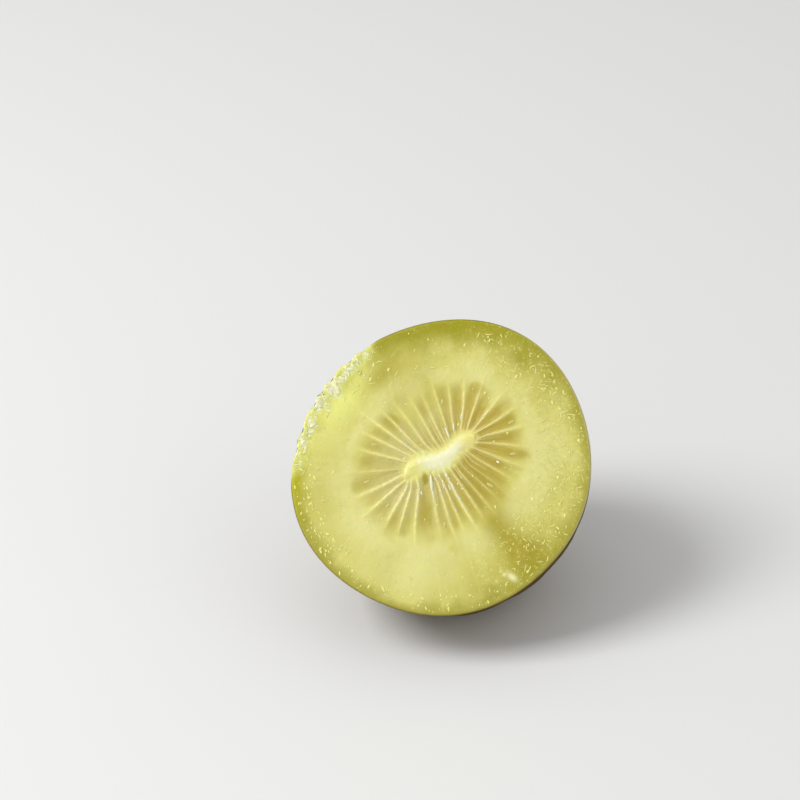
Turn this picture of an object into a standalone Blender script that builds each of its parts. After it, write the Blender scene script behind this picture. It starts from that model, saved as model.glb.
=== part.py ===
"""Half of a golden kiwi fruit, cut across its middle and lying on its skin.

The half is one grown piece, so it is one solid. It is built in the fruit's own frame and then leaned:
local +Z points straight out of the cut face, local +Y is up the face, and the blossom end is at -Z.

Surfaces, from the middle of the cut face outwards and round the back:
  - the core, a low pale mesa, long and narrow, whose middle line waves a little;
  - the locules, juicy furrows between raised septa that fan out from the core;
  - the outer flesh, flat, with a rounded shoulder where it meets the skin;
  - the skin, a blunt barrel that closes on a small pit with dried flower remnants;
  - a small flat spot, where the fruit has settled under its own weight.

The cut face is ruled: each line runs straight from a point of the core's outline to a point of the rim,
so the septa are straight spokes, and a share of the way along them says where a ring of corners lies.

Units are metres. The origin is the middle of the flat spot, +Z is up, and the cut face looks towards -Y.
"""

import math
import random

import bmesh
import bpy
from mathutils import Matrix, Vector

MM = 0.001

# --- The body -----------------------------------------------------------------------------------
MEAN_RADIUS = 27.0 * MM
HALF_LENGTH = 34.0 * MM
BLUNTNESS = 2.7
# The cross-section isn't round: each entry is a number of lobes, their share of the radius, and the
# direction in degrees of the first lobe's crest.
OUTLINE_LOBES = ((2, 0.026, 38.0), (3, 0.0125, -56.0), (5, 0.006, -13.0))
LOBES_LOST_AT_END = 0.6
BLOSSOM_END_SHIFT = (0.9 * MM, -0.7 * MM)

# --- The cut face -------------------------------------------------------------------------------
CORE_CENTRE = (-0.3 * MM, 1.7 * MM)
CORE_DIRECTION = math.radians(25.0)
CORE_HALF_LENGTH = 7.3 * MM
CORE_HALF_WIDTH = 1.85 * MM
CORE_FULLNESS = 0.6
CORE_WAVE = 0.55 * MM
CORE_WAVE_LENGTH = 10.0 * MM
CORE_HOOK = 0.65 * MM
CORE_HEIGHT = 0.4 * MM
# A spoke reaches the rim a little further round than it leaves the core: by FAN_TURN everywhere, and by
# up to FAN_SKEW more on two opposite sides.
FAN_TURN = math.radians(2.0)
FAN_SKEW = math.radians(8.0)
FAN_SKEW_DIRECTION = math.radians(58.0)
# The septa crowd together on the core's two long sides: each is moved towards them by up to this angle.
SEPTUM_COUNT = 31
FIRST_SEPTUM = math.radians(4.0)
SEPTUM_WANDER = 0.3
SEPTUM_SEED = 10827
SEPTUM_CROWDING = 0.1
CROWDED_DIRECTION = math.radians(100.0)
LOCULE_DEPTH = 0.4 * MM
LOCULE_END = 0.5
LOCULE_END_SPREAD = 0.06
LOCULE_RAMP = 0.1
SHOULDER = 0.4 * MM

# --- The blossom end ----------------------------------------------------------------------------
PIT_DEPTH = 1.3 * MM
PIT_RADIUS = 4.2 * MM
COLLAR_HEIGHT = 0.35 * MM
COLLAR_RADIUS = 6.0 * MM
COLLAR_WIDTH = 1.5 * MM
REMNANT_COUNT = 7
REMNANT_HEIGHT = 1.0 * MM
REMNANT_RADIUS = 2.6 * MM
REMNANT_LENGTH = 1.2 * MM
REMNANT_WANDER = 0.6
STYLE_HEIGHT = 1.1 * MM
STYLE_RADIUS = 0.9 * MM

# --- How the half lies --------------------------------------------------------------------------
FACE_ELEVATION = math.radians(41.0)
FLAT_DEPTH = 1.1 * MM

# --- Where the mesh has its lines ---------------------------------------------------------------
# Across one locule, from its septum: (share of the way to the next septum, share of the full furrow).
LOCULE_SECTION = ((0.0, 0.0), (0.14, 0.62), (0.5, 1.0), (0.86, 0.62))
# Shares of the way from the core's outline to the rim. Those below 0 lie on the core, whose middle
# line is -1.
FACE_RINGS = (-0.72, -0.3, 0.0, 0.04, 0.09, 0.18, 0.28, 0.37, 0.44, 0.52, 0.66, 0.82, 0.985)
BODY_RINGS = 15
END_RADII = tuple(radius * MM for radius in (7.6, 6.7, 6.0, 5.3, 4.5, 3.8, 3.1, 2.5, 1.9, 1.3, 0.7))
# The rings of the skin have half as many corners from these on, so that no face gets needle-thin.
HALVED_AT_BODY_RING = 2
HALVED_AT_END_RING = 4


def outline_radius(angle, lobes_kept=1.0):
    """Distance from the fruit's axis to its skin: a circle plus a few soft lobes."""
    lobes = sum(
        share * math.cos(count * (angle - math.radians(crest)))
        for count, share, crest in OUTLINE_LOBES
    )
    return MEAN_RADIUS * (1.0 + lobes_kept * lobes)


def smooth_step(low, high, value):
    """0 below low, 1 above high, and an S-curve between."""
    share = min(max((value - low) / (high - low), 0.0), 1.0)
    return share * share * (3.0 - 2.0 * share)


def core_edge(turn, width_share=1.0):
    """A point of the core's outline: a long oval with full ends, bent along a wavy middle line."""
    along = CORE_HALF_LENGTH * math.cos(turn)
    side = math.sin(turn)
    across = CORE_HALF_WIDTH * width_share * math.copysign(abs(side) ** CORE_FULLNESS, side)
    across -= CORE_WAVE * math.cos(math.tau * along / CORE_WAVE_LENGTH)
    across += CORE_HOOK * (along / CORE_HALF_LENGTH) ** 3
    return Vector((along, across)) @ Matrix.Rotation(-CORE_DIRECTION, 2) + Vector(CORE_CENTRE)


def rim_angle(turn):
    """The direction, from the fruit's axis, in which a spoke reaches the rim."""
    lean = 0.5 * FAN_SKEW * (1.0 + math.cos(2.0 * (turn - FAN_SKEW_DIRECTION)))
    return turn + CORE_DIRECTION + FAN_TURN + lean


def face_point(turn, share):
    """Place on the cut face. See FACE_RINGS for share."""
    if share < 0.0:
        return core_edge(turn, width_share=1.0 + share)
    angle = rim_angle(turn)
    rim = outline_radius(angle) * Vector((math.cos(angle), math.sin(angle)))
    return core_edge(turn).lerp(rim, share)


def skin_point(angle, depth):
    """A point of the skin: the outline, shrunk by a blunt barrel profile towards the blossom end."""
    share = depth / HALF_LENGTH
    barrel = math.sqrt(max(1.0 - share**BLUNTNESS, 0.0))
    radius = outline_radius(angle, 1.0 - LOBES_LOST_AT_END * share) * barrel
    return Vector((
        radius * math.cos(angle) + BLOSSOM_END_SHIFT[0] * share**2,
        radius * math.sin(angle) + BLOSSOM_END_SHIFT[1] * share**2,
        -depth,
    ))


def depth_at_radius(radius):
    """The depth at which the barrel profile has this mean radius."""
    return HALF_LENGTH * (1.0 - (radius / MEAN_RADIUS) ** 2) ** (1.0 / BLUNTNESS)


def bump(value, middle, width):
    """A bell curve of height 1."""
    return math.exp(-(((value - middle) / width) ** 2))


def end_relief(radius, angle):
    """How far the skin stands out at the blossom end: a collared pit, dried stubs and a style."""
    relief = COLLAR_HEIGHT * bump(radius, COLLAR_RADIUS, COLLAR_WIDTH)
    relief -= PIT_DEPTH * bump(radius, 0.0, PIT_RADIUS)
    stub = max(math.cos(REMNANT_COUNT * angle + REMNANT_WANDER * math.sin(2.0 * angle)), 0.0)
    relief += REMNANT_HEIGHT * stub * bump(radius, REMNANT_RADIUS, REMNANT_LENGTH)
    relief += STYLE_HEIGHT * bump(radius, 0.0, STYLE_RADIUS)
    return relief


def end_point(angle, radius):
    """A point of the blossom end."""
    return skin_point(angle, depth_at_radius(radius)) - Vector((0.0, 0.0, end_relief(radius, angle)))


def locule_columns():
    """(turn, furrow share, locule end) for each spoke, with the septa unevenly spaced."""
    draw = random.Random(SEPTUM_SEED)
    even = [
        FIRST_SEPTUM + math.tau * (number + draw.uniform(-SEPTUM_WANDER, SEPTUM_WANDER)) / SEPTUM_COUNT
        for number in range(SEPTUM_COUNT)
    ]
    septa = [turn - SEPTUM_CROWDING * math.sin(2.0 * (turn - CROWDED_DIRECTION)) for turn in even]
    ends = [
        LOCULE_END + draw.uniform(-LOCULE_END_SPREAD, LOCULE_END_SPREAD)
        for _ in range(SEPTUM_COUNT)
    ]
    columns = []
    for number, start in enumerate(septa):
        stop = septa[number + 1] if number + 1 < SEPTUM_COUNT else septa[0] + math.tau
        for way, furrow in LOCULE_SECTION:
            columns.append((start + way * (stop - start), furrow, ends[number]))
    return columns


def face_height(share, furrow, locule_end):
    """Height of the cut face above the knife's plane."""
    if share < 0.0:
        return CORE_HEIGHT * (1.0 - (1.0 + share) ** 3)
    opening = smooth_step(0.0, LOCULE_RAMP, share)
    closing = smooth_step(locule_end - LOCULE_RAMP, locule_end, share)
    return -LOCULE_DEPTH * furrow * opening * (1.0 - closing)


def add_ring(mesh, points):
    """New corners at these points, in their order."""
    return [mesh.verts.new(point) for point in points]


def join_rings(mesh, wide, narrow):
    """Faces between two rings with as many corners, or with half as many in the narrow one."""
    count = len(narrow)
    for i in range(count):
        j = (i + 1) % count
        if len(wide) == count:
            mesh.faces.new((wide[i], narrow[i], narrow[j], wide[j]))
            continue
        first, middle, last = wide[2 * i], wide[2 * i + 1], wide[2 * j]
        mesh.faces.new((first, narrow[i], middle))
        mesh.faces.new((middle, narrow[i], narrow[j]))
        mesh.faces.new((middle, narrow[j], last))


def add_cut_face(mesh, columns):
    """The cut face from the core's crest outwards. Returns the ring of corners along the shoulder."""
    rings = [
        add_ring(mesh, [
            (*face_point(turn, share), face_height(share, furrow, end))
            for turn, furrow, end in columns
        ])
        for share in FACE_RINGS
    ]
    # The crest ring is a long thin loop: it is filled with faces that run straight across it.
    crest = rings[0]
    half = len(crest) // 2
    mesh.faces.new((crest[0], crest[1], crest[-1]))
    for i in range(1, half - 1):
        mesh.faces.new((crest[i], crest[i + 1], crest[-i - 1], crest[-i]))
    mesh.faces.new((crest[half - 1], crest[half], crest[half + 1]))
    for inner, outer in zip(rings, rings[1:]):
        join_rings(mesh, inner, outer)
    return rings[-1]


def skin_rings(angles):
    """The rings of the skin, from the shoulder to the blossom end, as lists of points."""
    belt_depth = depth_at_radius(END_RADII[0])
    for number in range(BODY_RINGS):
        if number == HALVED_AT_BODY_RING:
            angles = angles[::2]
        way = math.sin(0.5 * math.pi * number / BODY_RINGS)
        yield [skin_point(angle, SHOULDER + way * (belt_depth - SHOULDER)) for angle in angles]
    for number, radius in enumerate(END_RADII):
        if number == HALVED_AT_END_RING:
            angles = angles[::2]
        yield [end_point(angle, radius) for angle in angles]


def add_skin(mesh, columns, shoulder_ring):
    """The skin, closed at the middle of the blossom end."""
    last = shoulder_ring
    for points in skin_rings([rim_angle(turn) for turn, _, _ in columns]):
        ring = add_ring(mesh, points)
        join_rings(mesh, last, ring)
        last = ring
    tip = mesh.verts.new(end_point(0.0, 0.0))
    for i, corner in enumerate(last):
        mesh.faces.new((corner, tip, last[(i + 1) % len(last)]))


def make_material(name, colour, roughness):
    material = bpy.data.materials.new(name)
    material.use_nodes = True
    shader = material.node_tree.nodes["Principled BSDF"]
    shader.inputs["Base Color"].default_value = (*colour, 1.0)
    shader.inputs["Roughness"].default_value = roughness
    shader.inputs["Metallic"].default_value = 0.0
    material.diffuse_color = (*colour, 1.0)
    return material


def lowest_skin_point(lean):
    """The lowest point of the leaned skin: the best of a grid of tries, on a grid that shrinks round it."""
    angle, angle_step = -0.5 * math.pi, 0.15
    depth, depth_step = 0.5 * HALF_LENGTH, 0.11 * HALF_LENGTH
    steps = range(-4, 5)
    for _ in range(12):
        angle, depth = min(
            ((angle + i * angle_step, depth + j * depth_step) for i in steps for j in steps),
            key=lambda place: (lean @ skin_point(*place)).z,
        )
        angle_step *= 0.5
        depth_step *= 0.5
    return lean @ skin_point(angle, depth)


def half_mesh():
    """The closed surface of the half in the fruit's own frame, its flesh and its skin in two materials."""
    columns = locule_columns()
    mesh = bmesh.new()
    shoulder_ring = add_cut_face(mesh, columns)
    flesh_faces = set(mesh.faces)
    add_skin(mesh, columns, shoulder_ring)
    for face in mesh.faces:
        face.material_index = 0 if face in flesh_faces else 1
        face.smooth = True
    bmesh.ops.recalc_face_normals(mesh, faces=mesh.faces)
    data = bpy.data.meshes.new("kiwi_half")
    mesh.to_mesh(data)
    mesh.free()
    data.materials.append(make_material("golden_flesh", (0.74, 0.68, 0.20), 0.35))
    data.materials.append(make_material("brown_skin", (0.16, 0.10, 0.04), 0.55))
    return data


def lay_down(data):
    """Leans the half back, cut face up by FACE_ELEVATION, and sets it FLAT_DEPTH into the table's plane."""
    half = bpy.data.objects.new("kiwi_half", data)
    bpy.context.collection.objects.link(half)
    lean = Matrix.Rotation(0.5 * math.pi - FACE_ELEVATION, 3, "X")
    half.rotation_euler = lean.to_euler()
    half.location = -lowest_skin_point(lean) - Vector((0.0, 0.0, FLAT_DEPTH))
    return half


def flatten_underside(half):
    """Cuts the small flat spot that the half rests on, at z = 0."""
    size = 3.0 * MEAN_RADIUS
    bpy.ops.mesh.primitive_cube_add(size=size, location=(0.0, 0.0, -0.5 * size))
    table = bpy.context.object
    table.name = "flat_spot_cutter"
    table.hide_render = True
    table.display_type = "WIRE"
    cut = half.modifiers.new("flat_spot", "BOOLEAN")
    cut.operation = "DIFFERENCE"
    cut.solver = "EXACT"
    cut.object = table


for thing in list(bpy.data.objects):
    bpy.data.objects.remove(thing)
flatten_underside(lay_down(half_mesh()))
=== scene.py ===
# %% [markdown]
# # Half of a golden kiwi fruit
#
# A kiwi half is simple in outline and rich on its cut face: a pale core, a fan of fine white walls
# (the septa), juicy pockets between them (the locules), cloudy outer flesh and a paper-thin skin.
# This lesson builds each of them as a surface worked out with numpy, stores what the finish needs to
# know as attributes on the mesh, and lets procedural materials do the colouring.
#
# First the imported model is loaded. It is the frame that everything is fitted to, so its box is kept.

import random

import bpy
import numpy as np
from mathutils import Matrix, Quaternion, Vector


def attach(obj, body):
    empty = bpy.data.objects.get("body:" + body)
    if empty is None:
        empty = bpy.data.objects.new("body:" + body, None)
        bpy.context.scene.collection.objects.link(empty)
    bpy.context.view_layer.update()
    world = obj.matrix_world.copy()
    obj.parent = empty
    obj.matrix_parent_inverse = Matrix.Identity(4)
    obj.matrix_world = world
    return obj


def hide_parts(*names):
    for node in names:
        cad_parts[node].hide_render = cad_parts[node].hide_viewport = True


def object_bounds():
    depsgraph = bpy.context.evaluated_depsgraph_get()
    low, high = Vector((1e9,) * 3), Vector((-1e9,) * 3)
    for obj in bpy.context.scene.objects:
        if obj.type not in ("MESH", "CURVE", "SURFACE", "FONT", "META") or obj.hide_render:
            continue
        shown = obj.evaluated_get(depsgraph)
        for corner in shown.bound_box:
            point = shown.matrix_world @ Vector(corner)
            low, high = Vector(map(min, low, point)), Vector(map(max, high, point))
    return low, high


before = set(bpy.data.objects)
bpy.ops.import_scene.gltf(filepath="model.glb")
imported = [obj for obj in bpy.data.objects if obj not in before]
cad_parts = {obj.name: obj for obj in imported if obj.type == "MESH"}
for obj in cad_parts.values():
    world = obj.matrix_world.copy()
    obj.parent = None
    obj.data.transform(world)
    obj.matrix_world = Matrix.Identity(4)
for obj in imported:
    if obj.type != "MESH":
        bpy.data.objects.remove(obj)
cad_low, cad_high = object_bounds()
print("frame box in mm:", [round(1000 * side, 2) for side in cad_high - cad_low])

# %% [markdown]
# ## The driving dimensions
#
# The solid model states the same numbers, because both describe one fruit. Lengths are in metres,
# written as a number of millimetres. Angles on the cut face are counted from the face's own right.

# %% Sizes of the fruit
MM = 0.001
MEAN_RADIUS = 27.0 * MM
HALF_LENGTH = 34.0 * MM
BLUNTNESS = 2.7
OUTLINE_LOBES = ((2, 0.026, 38.0), (3, 0.0125, -56.0), (5, 0.006, -13.0))
LOBES_LOST_AT_END = 0.6
BLOSSOM_END_SHIFT = (0.9 * MM, -0.7 * MM)
FACE_ELEVATION = np.radians(41.0)

CORE_CENTRE = (-0.3 * MM, 1.7 * MM)
CORE_DIRECTION = np.radians(25.0)
CORE_HALF_LENGTH = 7.3 * MM
CORE_HALF_WIDTH = 1.85 * MM
CORE_FULLNESS = 0.6
CORE_WAVE = 0.55 * MM
CORE_WAVE_LENGTH = 10.0 * MM
CORE_HOOK = 0.65 * MM
CORE_HEIGHT = 0.4 * MM
FAN_TURN = np.radians(2.0)
FAN_SKEW = np.radians(8.0)
FAN_SKEW_DIRECTION = np.radians(58.0)
SEPTUM_COUNT = 31
FIRST_SEPTUM = np.radians(4.0)
SEPTUM_WANDER = 0.3
SEPTUM_SEED = 10827
SEPTUM_CROWDING = 0.1
CROWDED_DIRECTION = np.radians(100.0)
LOCULE_DEPTH = 0.4 * MM
LOCULE_END = 0.5
LOCULE_END_SPREAD = 0.06
LOCULE_RAMP = 0.1
SHOULDER = 0.4 * MM
SKIN_THICKNESS = 0.16 * MM
print("a half", round(2000 * MEAN_RADIUS), "mm across and", round(1000 * HALF_LENGTH), "mm deep")

# %% [markdown]
# ## Helpers for whole arrays
#
# Every shape below is a formula over a grid of two parameters. A few small helpers recur: an S-curve
# up or down, a bell curve, a circle, and soft random hills. The hills are a sum of sine waves that run
# in random directions, which is smooth everywhere and gives the same hills each run.


# %% Curves and hills
def rise(low, high, value):
    """0 below low, 1 above high, and between them the cubic that starts and ends level."""
    share = np.clip((value - low) / (high - low), 0, 1)
    return share * share * (3 - 2 * share)


def fall(low, high, value):
    """The same curve upside down: 1 below low and 0 above high."""
    return 1 - rise(low, high, value)


def bump(value, middle, width):
    """A bell curve of height 1: e to the minus square of the distance from the middle in widths."""
    return np.exp(-(((value - middle) / width) ** 2))


def around(angle, third=0):
    """Points of a unit circle: the cosine and the sine of the angle, with a third coordinate."""
    return np.stack(np.broadcast_arrays(np.cos(angle), np.sin(angle), third), -1)


def unit(vectors):
    """The same directions at length 1."""
    return vectors / np.linalg.norm(vectors, axis=-1, keepdims=True)


def hills(points, wavelength, seed, count=36):
    """Random hills of unit strength: sine waves of about one wavelength, each in its own direction."""
    draw = np.random.default_rng(seed)
    heading = unit(draw.normal(size=(count, points.shape[-1])))
    pace = 2 * np.pi / wavelength * draw.uniform(0.7, 1.5, count)
    phase = draw.uniform(0, 2 * np.pi, count)
    return np.sin(points @ (heading * pace[:, None]).T + phase).sum(-1) * np.sqrt(2 / count)


# %% [markdown]
# ## From points to a mesh
#
# A grid of points becomes a mesh by joining each point to its neighbours. Rows are closed rings, and a
# fan of triangles closes the last of them. Attributes are numbers stored at each point, which a
# material can read by name.


# %% Grids to meshes
def ring_faces(rows, columns, first=0):
    """Quads between neighbouring rows of a grid whose rows are closed rings."""
    row, column = np.meshgrid(np.arange(rows - 1), np.arange(columns), indexing="ij")
    here, after = row * columns + column, row * columns + (column + 1) % columns
    return first + np.stack((here, after, after + columns, here + columns), -1).reshape(-1, 4)


def cap_faces(first, columns, pole):
    """Triangles from a ring of points, which starts at the first one, to the pole in its middle."""
    here = first + np.arange(columns)
    return np.stack((here, np.roll(here, -1), np.full(columns, pole)), -1)


def copies(faces, size, count):
    """The faces of one shape repeated for many, each of which has this number of points."""
    return (faces + size * np.arange(count)[:, None, None]).reshape(-1, faces.shape[1])


def make_piece(name, points, quads, triangles=(), **attributes):
    """A mesh object at the origin, with one named attribute for each array handed in."""
    points = np.asarray(points, np.float32).reshape(-1, 3)
    faces = [np.asarray(part, np.int32).reshape(-1, size) for part, size in ((quads, 4), (triangles, 3))]
    corners = np.concatenate([part.ravel() for part in faces])
    sizes = np.concatenate([np.full(len(part), part.shape[1], np.int32) for part in faces])
    mesh = bpy.data.meshes.new(name)
    mesh.vertices.add(len(points))
    mesh.vertices.foreach_set("co", points.ravel())
    mesh.loops.add(len(corners))
    mesh.loops.foreach_set("vertex_index", corners)
    mesh.polygons.add(len(sizes))
    mesh.polygons.foreach_set("loop_start", np.cumsum(sizes) - sizes)
    mesh.polygons.foreach_set("loop_total", sizes)
    mesh.update(calc_edges=True)
    mesh.validate()
    mesh.shade_smooth()
    for title, values in attributes.items():
        kind, field = ("FLOAT_VECTOR", "vector") if np.ndim(values) > 1 else ("FLOAT", "value")
        layer = mesh.attributes.new(title, kind, "POINT")
        layer.data.foreach_set(field, np.asarray(values, np.float32).ravel())
    piece = bpy.data.objects.new(name, mesh)
    bpy.context.scene.collection.objects.link(piece)
    print(f"{name}: {len(points)} points, {len(faces[0]) * 2 + len(faces[1])} triangles")
    return piece


# %% [markdown]
# ## How the half lies
#
# The fruit is worked out in its own frame: +Z points straight out of the cut, +Y is up the face. Then
# it leans back, and it is set into the table until its top meets the top of the frame's box. What
# would be under the table is pressed flat, which makes the small spot that the fruit rests on.


# %% Outline, barrel and lean
def outline_radius(angle, lobes_kept=1):
    """Distance from the axis to the skin: the mean radius times one plus a few cosine lobes."""
    lobes = sum(share * np.cos(count * (angle - np.radians(crest))) for count, share, crest in OUTLINE_LOBES)
    return MEAN_RADIUS * (1 + lobes_kept * lobes)


def skin_place(angle, depth, inset=0):
    """A point of the skin: the outline, shrunk by the square root of 1 minus a power of the depth."""
    share = np.clip(depth / HALF_LENGTH, 0, 1)
    barrel = np.sqrt(np.clip(1 - share**BLUNTNESS, 0, 1))
    radius = np.maximum(outline_radius(angle, 1 - LOBES_LOST_AT_END * share) - inset, 0) * barrel
    x = radius * np.cos(angle) + BLOSSOM_END_SHIFT[0] * share**2
    y = radius * np.sin(angle) + BLOSSOM_END_SHIFT[1] * share**2
    return np.stack(np.broadcast_arrays(x, y, -depth * (1 - inset / HALF_LENGTH)), -1)


def lean_back(points):
    """Turns local points about X, so that the cut face looks up by FACE_ELEVATION."""
    x, y, z = np.moveaxis(points, -1, 0)
    sine, cosine = np.sin(FACE_ELEVATION), np.cos(FACE_ELEVATION)
    return np.stack((x, y * sine - z * cosine, y * cosine + z * sine), -1)


FULL_TURN = 2 * np.pi
ring, dive = np.meshgrid(np.linspace(0, FULL_TURN, 721), np.linspace(SHOULDER, HALF_LENGTH, 400))
bare_skin = lean_back(skin_place(ring, dive))
bare_low, bare_high = bare_skin.min((0, 1)), bare_skin.max((0, 1))
middle = 0.5 * (np.array(cad_low) + np.array(cad_high) - bare_low - bare_high)
SETTLE = np.array((*middle[:2], cad_high.z - bare_high[2]))
PRESS_SOFTNESS = 0.3 * MM


def lay_down(points, floor=0):
    """Leans and lowers local points, then lifts what is below the floor on to it, by a soft maximum."""
    placed = lean_back(points) + SETTLE
    below = placed[..., 2] - floor
    placed[..., 2] = floor + 0.5 * (below + np.sqrt(below**2 + PRESS_SOFTNESS**2))
    return placed


print("the skin would reach", round(1000 * (bare_low[2] + SETTLE[2]), 2), "mm if it were not flat there")

# %% [markdown]
# ## The fan of the cut face
#
# The septa of a kiwi run from the core to the outer flesh like the spokes of a fan. The face is
# therefore ruled: `turn` picks a spoke and `share` goes along it, from 0 at the core's outline to 1 at
# the rim. Below 0 the point is on the core. Each pocket between two septa gets the same number of
# spokes, so a line of points always follows a septum. Spokes crowd beside the septa, where the face
# changes most within a hair's breadth, and that makes the thin white lines crisp.
#
# The seeded spread of the septa is the solid's own. Small shifts then bunch them as on this fruit.

# %% Spokes
SPOKES_PER_LOCULE = 20
SPOKE_CROWDING = 0.55
SEPTUM_SHIFTS = np.radians((
    4, 4, 2, 0, -1, -4, -1, -5, -2, -3, -1, -1, 1, 4, 15,
    12, 16, 7, 6, 10, 6, 3, 2, 5, 1, 0, 0, -1, 2, 5, 1,
))


def core_edge(turn, width_share):
    """The core's outline: a long oval with full ends, bent along a cosine wave with hooked ends."""
    along = CORE_HALF_LENGTH * np.cos(turn)
    across = CORE_HALF_WIDTH * width_share * np.sign(np.sin(turn)) * np.abs(np.sin(turn)) ** CORE_FULLNESS
    across = across - CORE_WAVE * np.cos(FULL_TURN * along / CORE_WAVE_LENGTH)
    across = across + CORE_HOOK * (along / CORE_HALF_LENGTH) ** 3
    cosine, sine = np.cos(CORE_DIRECTION), np.sin(CORE_DIRECTION)
    return CORE_CENTRE[0] + along * cosine - across * sine, CORE_CENTRE[1] + along * sine + across * cosine


def rim_angle(turn):
    """The direction in which a spoke reaches the rim: a little further round than it leaves the core."""
    lean = 0.5 * FAN_SKEW * (1 + np.cos(2 * (turn - FAN_SKEW_DIRECTION)))
    return turn + CORE_DIRECTION + FAN_TURN + lean


def face_place(turn, share, inset=0):
    """A place on the cut face: the straight line from the core's outline to the rim."""
    core_x, core_y = core_edge(turn, np.minimum(1 + share, 1))
    angle = rim_angle(turn)
    radius = outline_radius(angle) - inset
    way = np.maximum(share, 0)
    return np.array((core_x + way * (radius * np.cos(angle) - core_x),
                     core_y + way * (radius * np.sin(angle) - core_y)))


draw = random.Random(SEPTUM_SEED)
even_turns = np.array([
    FIRST_SEPTUM + FULL_TURN * (number + draw.uniform(-SEPTUM_WANDER, SEPTUM_WANDER)) / SEPTUM_COUNT
    for number in range(SEPTUM_COUNT)
])
septum_turns = even_turns - SEPTUM_CROWDING * np.sin(2 * (even_turns - CROWDED_DIRECTION)) + SEPTUM_SHIFTS
locule_ends = LOCULE_END + np.array([
    draw.uniform(-LOCULE_END_SPREAD, LOCULE_END_SPREAD) for _ in range(SEPTUM_COUNT)])
next_turns = np.append(septum_turns[1:], septum_turns[0] + FULL_TURN)
locule = np.repeat(np.arange(SEPTUM_COUNT), SPOKES_PER_LOCULE)
even_phase = np.tile(np.arange(SPOKES_PER_LOCULE) / SPOKES_PER_LOCULE, SEPTUM_COUNT)
phase = even_phase - SPOKE_CROWDING * np.sin(FULL_TURN * even_phase) / FULL_TURN
turns = septum_turns[locule] + phase * (next_turns - septum_turns)[locule]
print(len(turns), "spokes,", SPOKES_PER_LOCULE, "in each of", SEPTUM_COUNT, "pockets")

# %% [markdown]
# ## What differs from septum to septum
#
# No two septa are alike: some are bright and reach far into the outer flesh, others fade early. Those
# to the lower right are faint, and a few stand out. The same goes for the pockets between them. Each
# property is one seeded draw per septum or pocket, raised or lowered in certain directions.

# %% Uneven septa and locules
uneven = np.random.default_rng(5)


def lots(low, high):
    """One number of this range for each septum, or for the pocket after it."""
    return uneven.uniform(low, high, SEPTUM_COUNT)


def zone(turn, middle, width):
    """A bell curve round the core: 1 where the turn is at the middle, both in degrees, and 0 far away."""
    return bump(np.mod(turn - np.radians(middle) + np.pi, FULL_TURN) - np.pi, 0, np.radians(width))


def zones(turn, *rows):
    """A sum of such bell curves, each given by its height, middle and width."""
    return sum(height * zone(turn, *row) for height, *row in rows)


faint = zones(septum_turns, (0.6, -62, 22), (0.8, 156, 9), (0.4, 70, 8), (0.2, 5, 34))
outstanding = zones(septum_turns, (0.5, -93, 7), (0.45, 118, 9), (0.2, -26, 7), (0.25, -148, 14))
septum_strength = lots(0.6, 0.95) * (1 - faint) + outstanding
septum_reach = lots(0.5, 0.62) + zones(septum_turns, (0.12, 118, 9), (-0.14, -62, 22))
septum_width = lots(0.14, 0.22) * MM
locule_depth = lots(0.6, 1.25)
locule_tone = lots(0, 1)
olive_reach = lots(-0.03, 0.03)
minor_place = lots(0.3, 0.7)
minor_strength = lots(0.1, 0.7)
minor_reach = lots(0.16, 0.36)
print("septum strengths:", septum_strength.min().round(2), "to", septum_strength.max().round(2))

# %% The ruled face
SEPTUM_WIGGLE = 0.06 * MM
SEPTUM_BEND = 0.4 * MM
CORE_ROWS = 12
shares = np.concatenate((
    -1 + np.linspace(0.07, 1, CORE_ROWS) ** 0.8,
    np.linspace(0, 0.66, 66)[1:],
    np.linspace(0.66, 0.97, 24)[1:],
    (0.978, 0.985, 0.990, 0.995, 1),
))
share, turn = np.meshgrid(shares, turns, indexing="ij")
angles = rim_angle(turn)
fan = around(turn, share)
plain_x, plain_y = face_place(turn, share, SKIN_THICKNESS)
bend = zones(turn, (1, -140, 26), (0.7, -112, 8), (0.8, 98, 15), (-1.1, -62, 16))
wiggle = SEPTUM_WIGGLE * hills(fan * (6, 6, 3), 1.6, 21) * fall(0.6, 0.9, share)
wiggle = wiggle + SEPTUM_BEND * bend * fall(0.05, 0.4, share)
wiggle = wiggle * rise(0, 0.1, share)
plain_x = plain_x - wiggle * np.sin(angles)
plain_y = plain_y + wiggle * np.cos(angles)
plain = np.stack((plain_x, plain_y, np.zeros_like(plain_x)), -1)

start, stop = (face_place(edge[None, :], shares[:, None]) for edge in (septum_turns, next_turns))
pocket_width = np.hypot(*(stop - start))[:, locule]
in_pocket = np.broadcast_to(phase, share.shape)
to_edge = np.minimum(in_pocket, 1 - in_pocket)
nearest = np.where(in_pocket < 0.5, locule, (locule + 1) % SEPTUM_COUNT)
from_septum = to_edge * pocket_width
spoke_length = np.hypot(*(face_place(turn, 1) - face_place(turn, 0)))
from_rim = (1 - share) * spoke_length
rim_mm = from_rim / MM
print("pockets are", round(1000 * pocket_width[CORE_ROWS + 50].mean(), 2), "mm wide at their outer ends")

# %% [markdown]
# ## The relief of the cut face
#
# A knife leaves the face almost flat, but the pockets sink as they lose juice, the septa stand between
# them as fine walls, and the core stands a little proud. The outer flesh has shallow waves and fibres.
# At the upper left the edge is torn: it is scalloped and rough, and crumbs of wet flesh cling to it.
# Below the core, one pocket is open, which makes a short dark slot.

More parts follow.
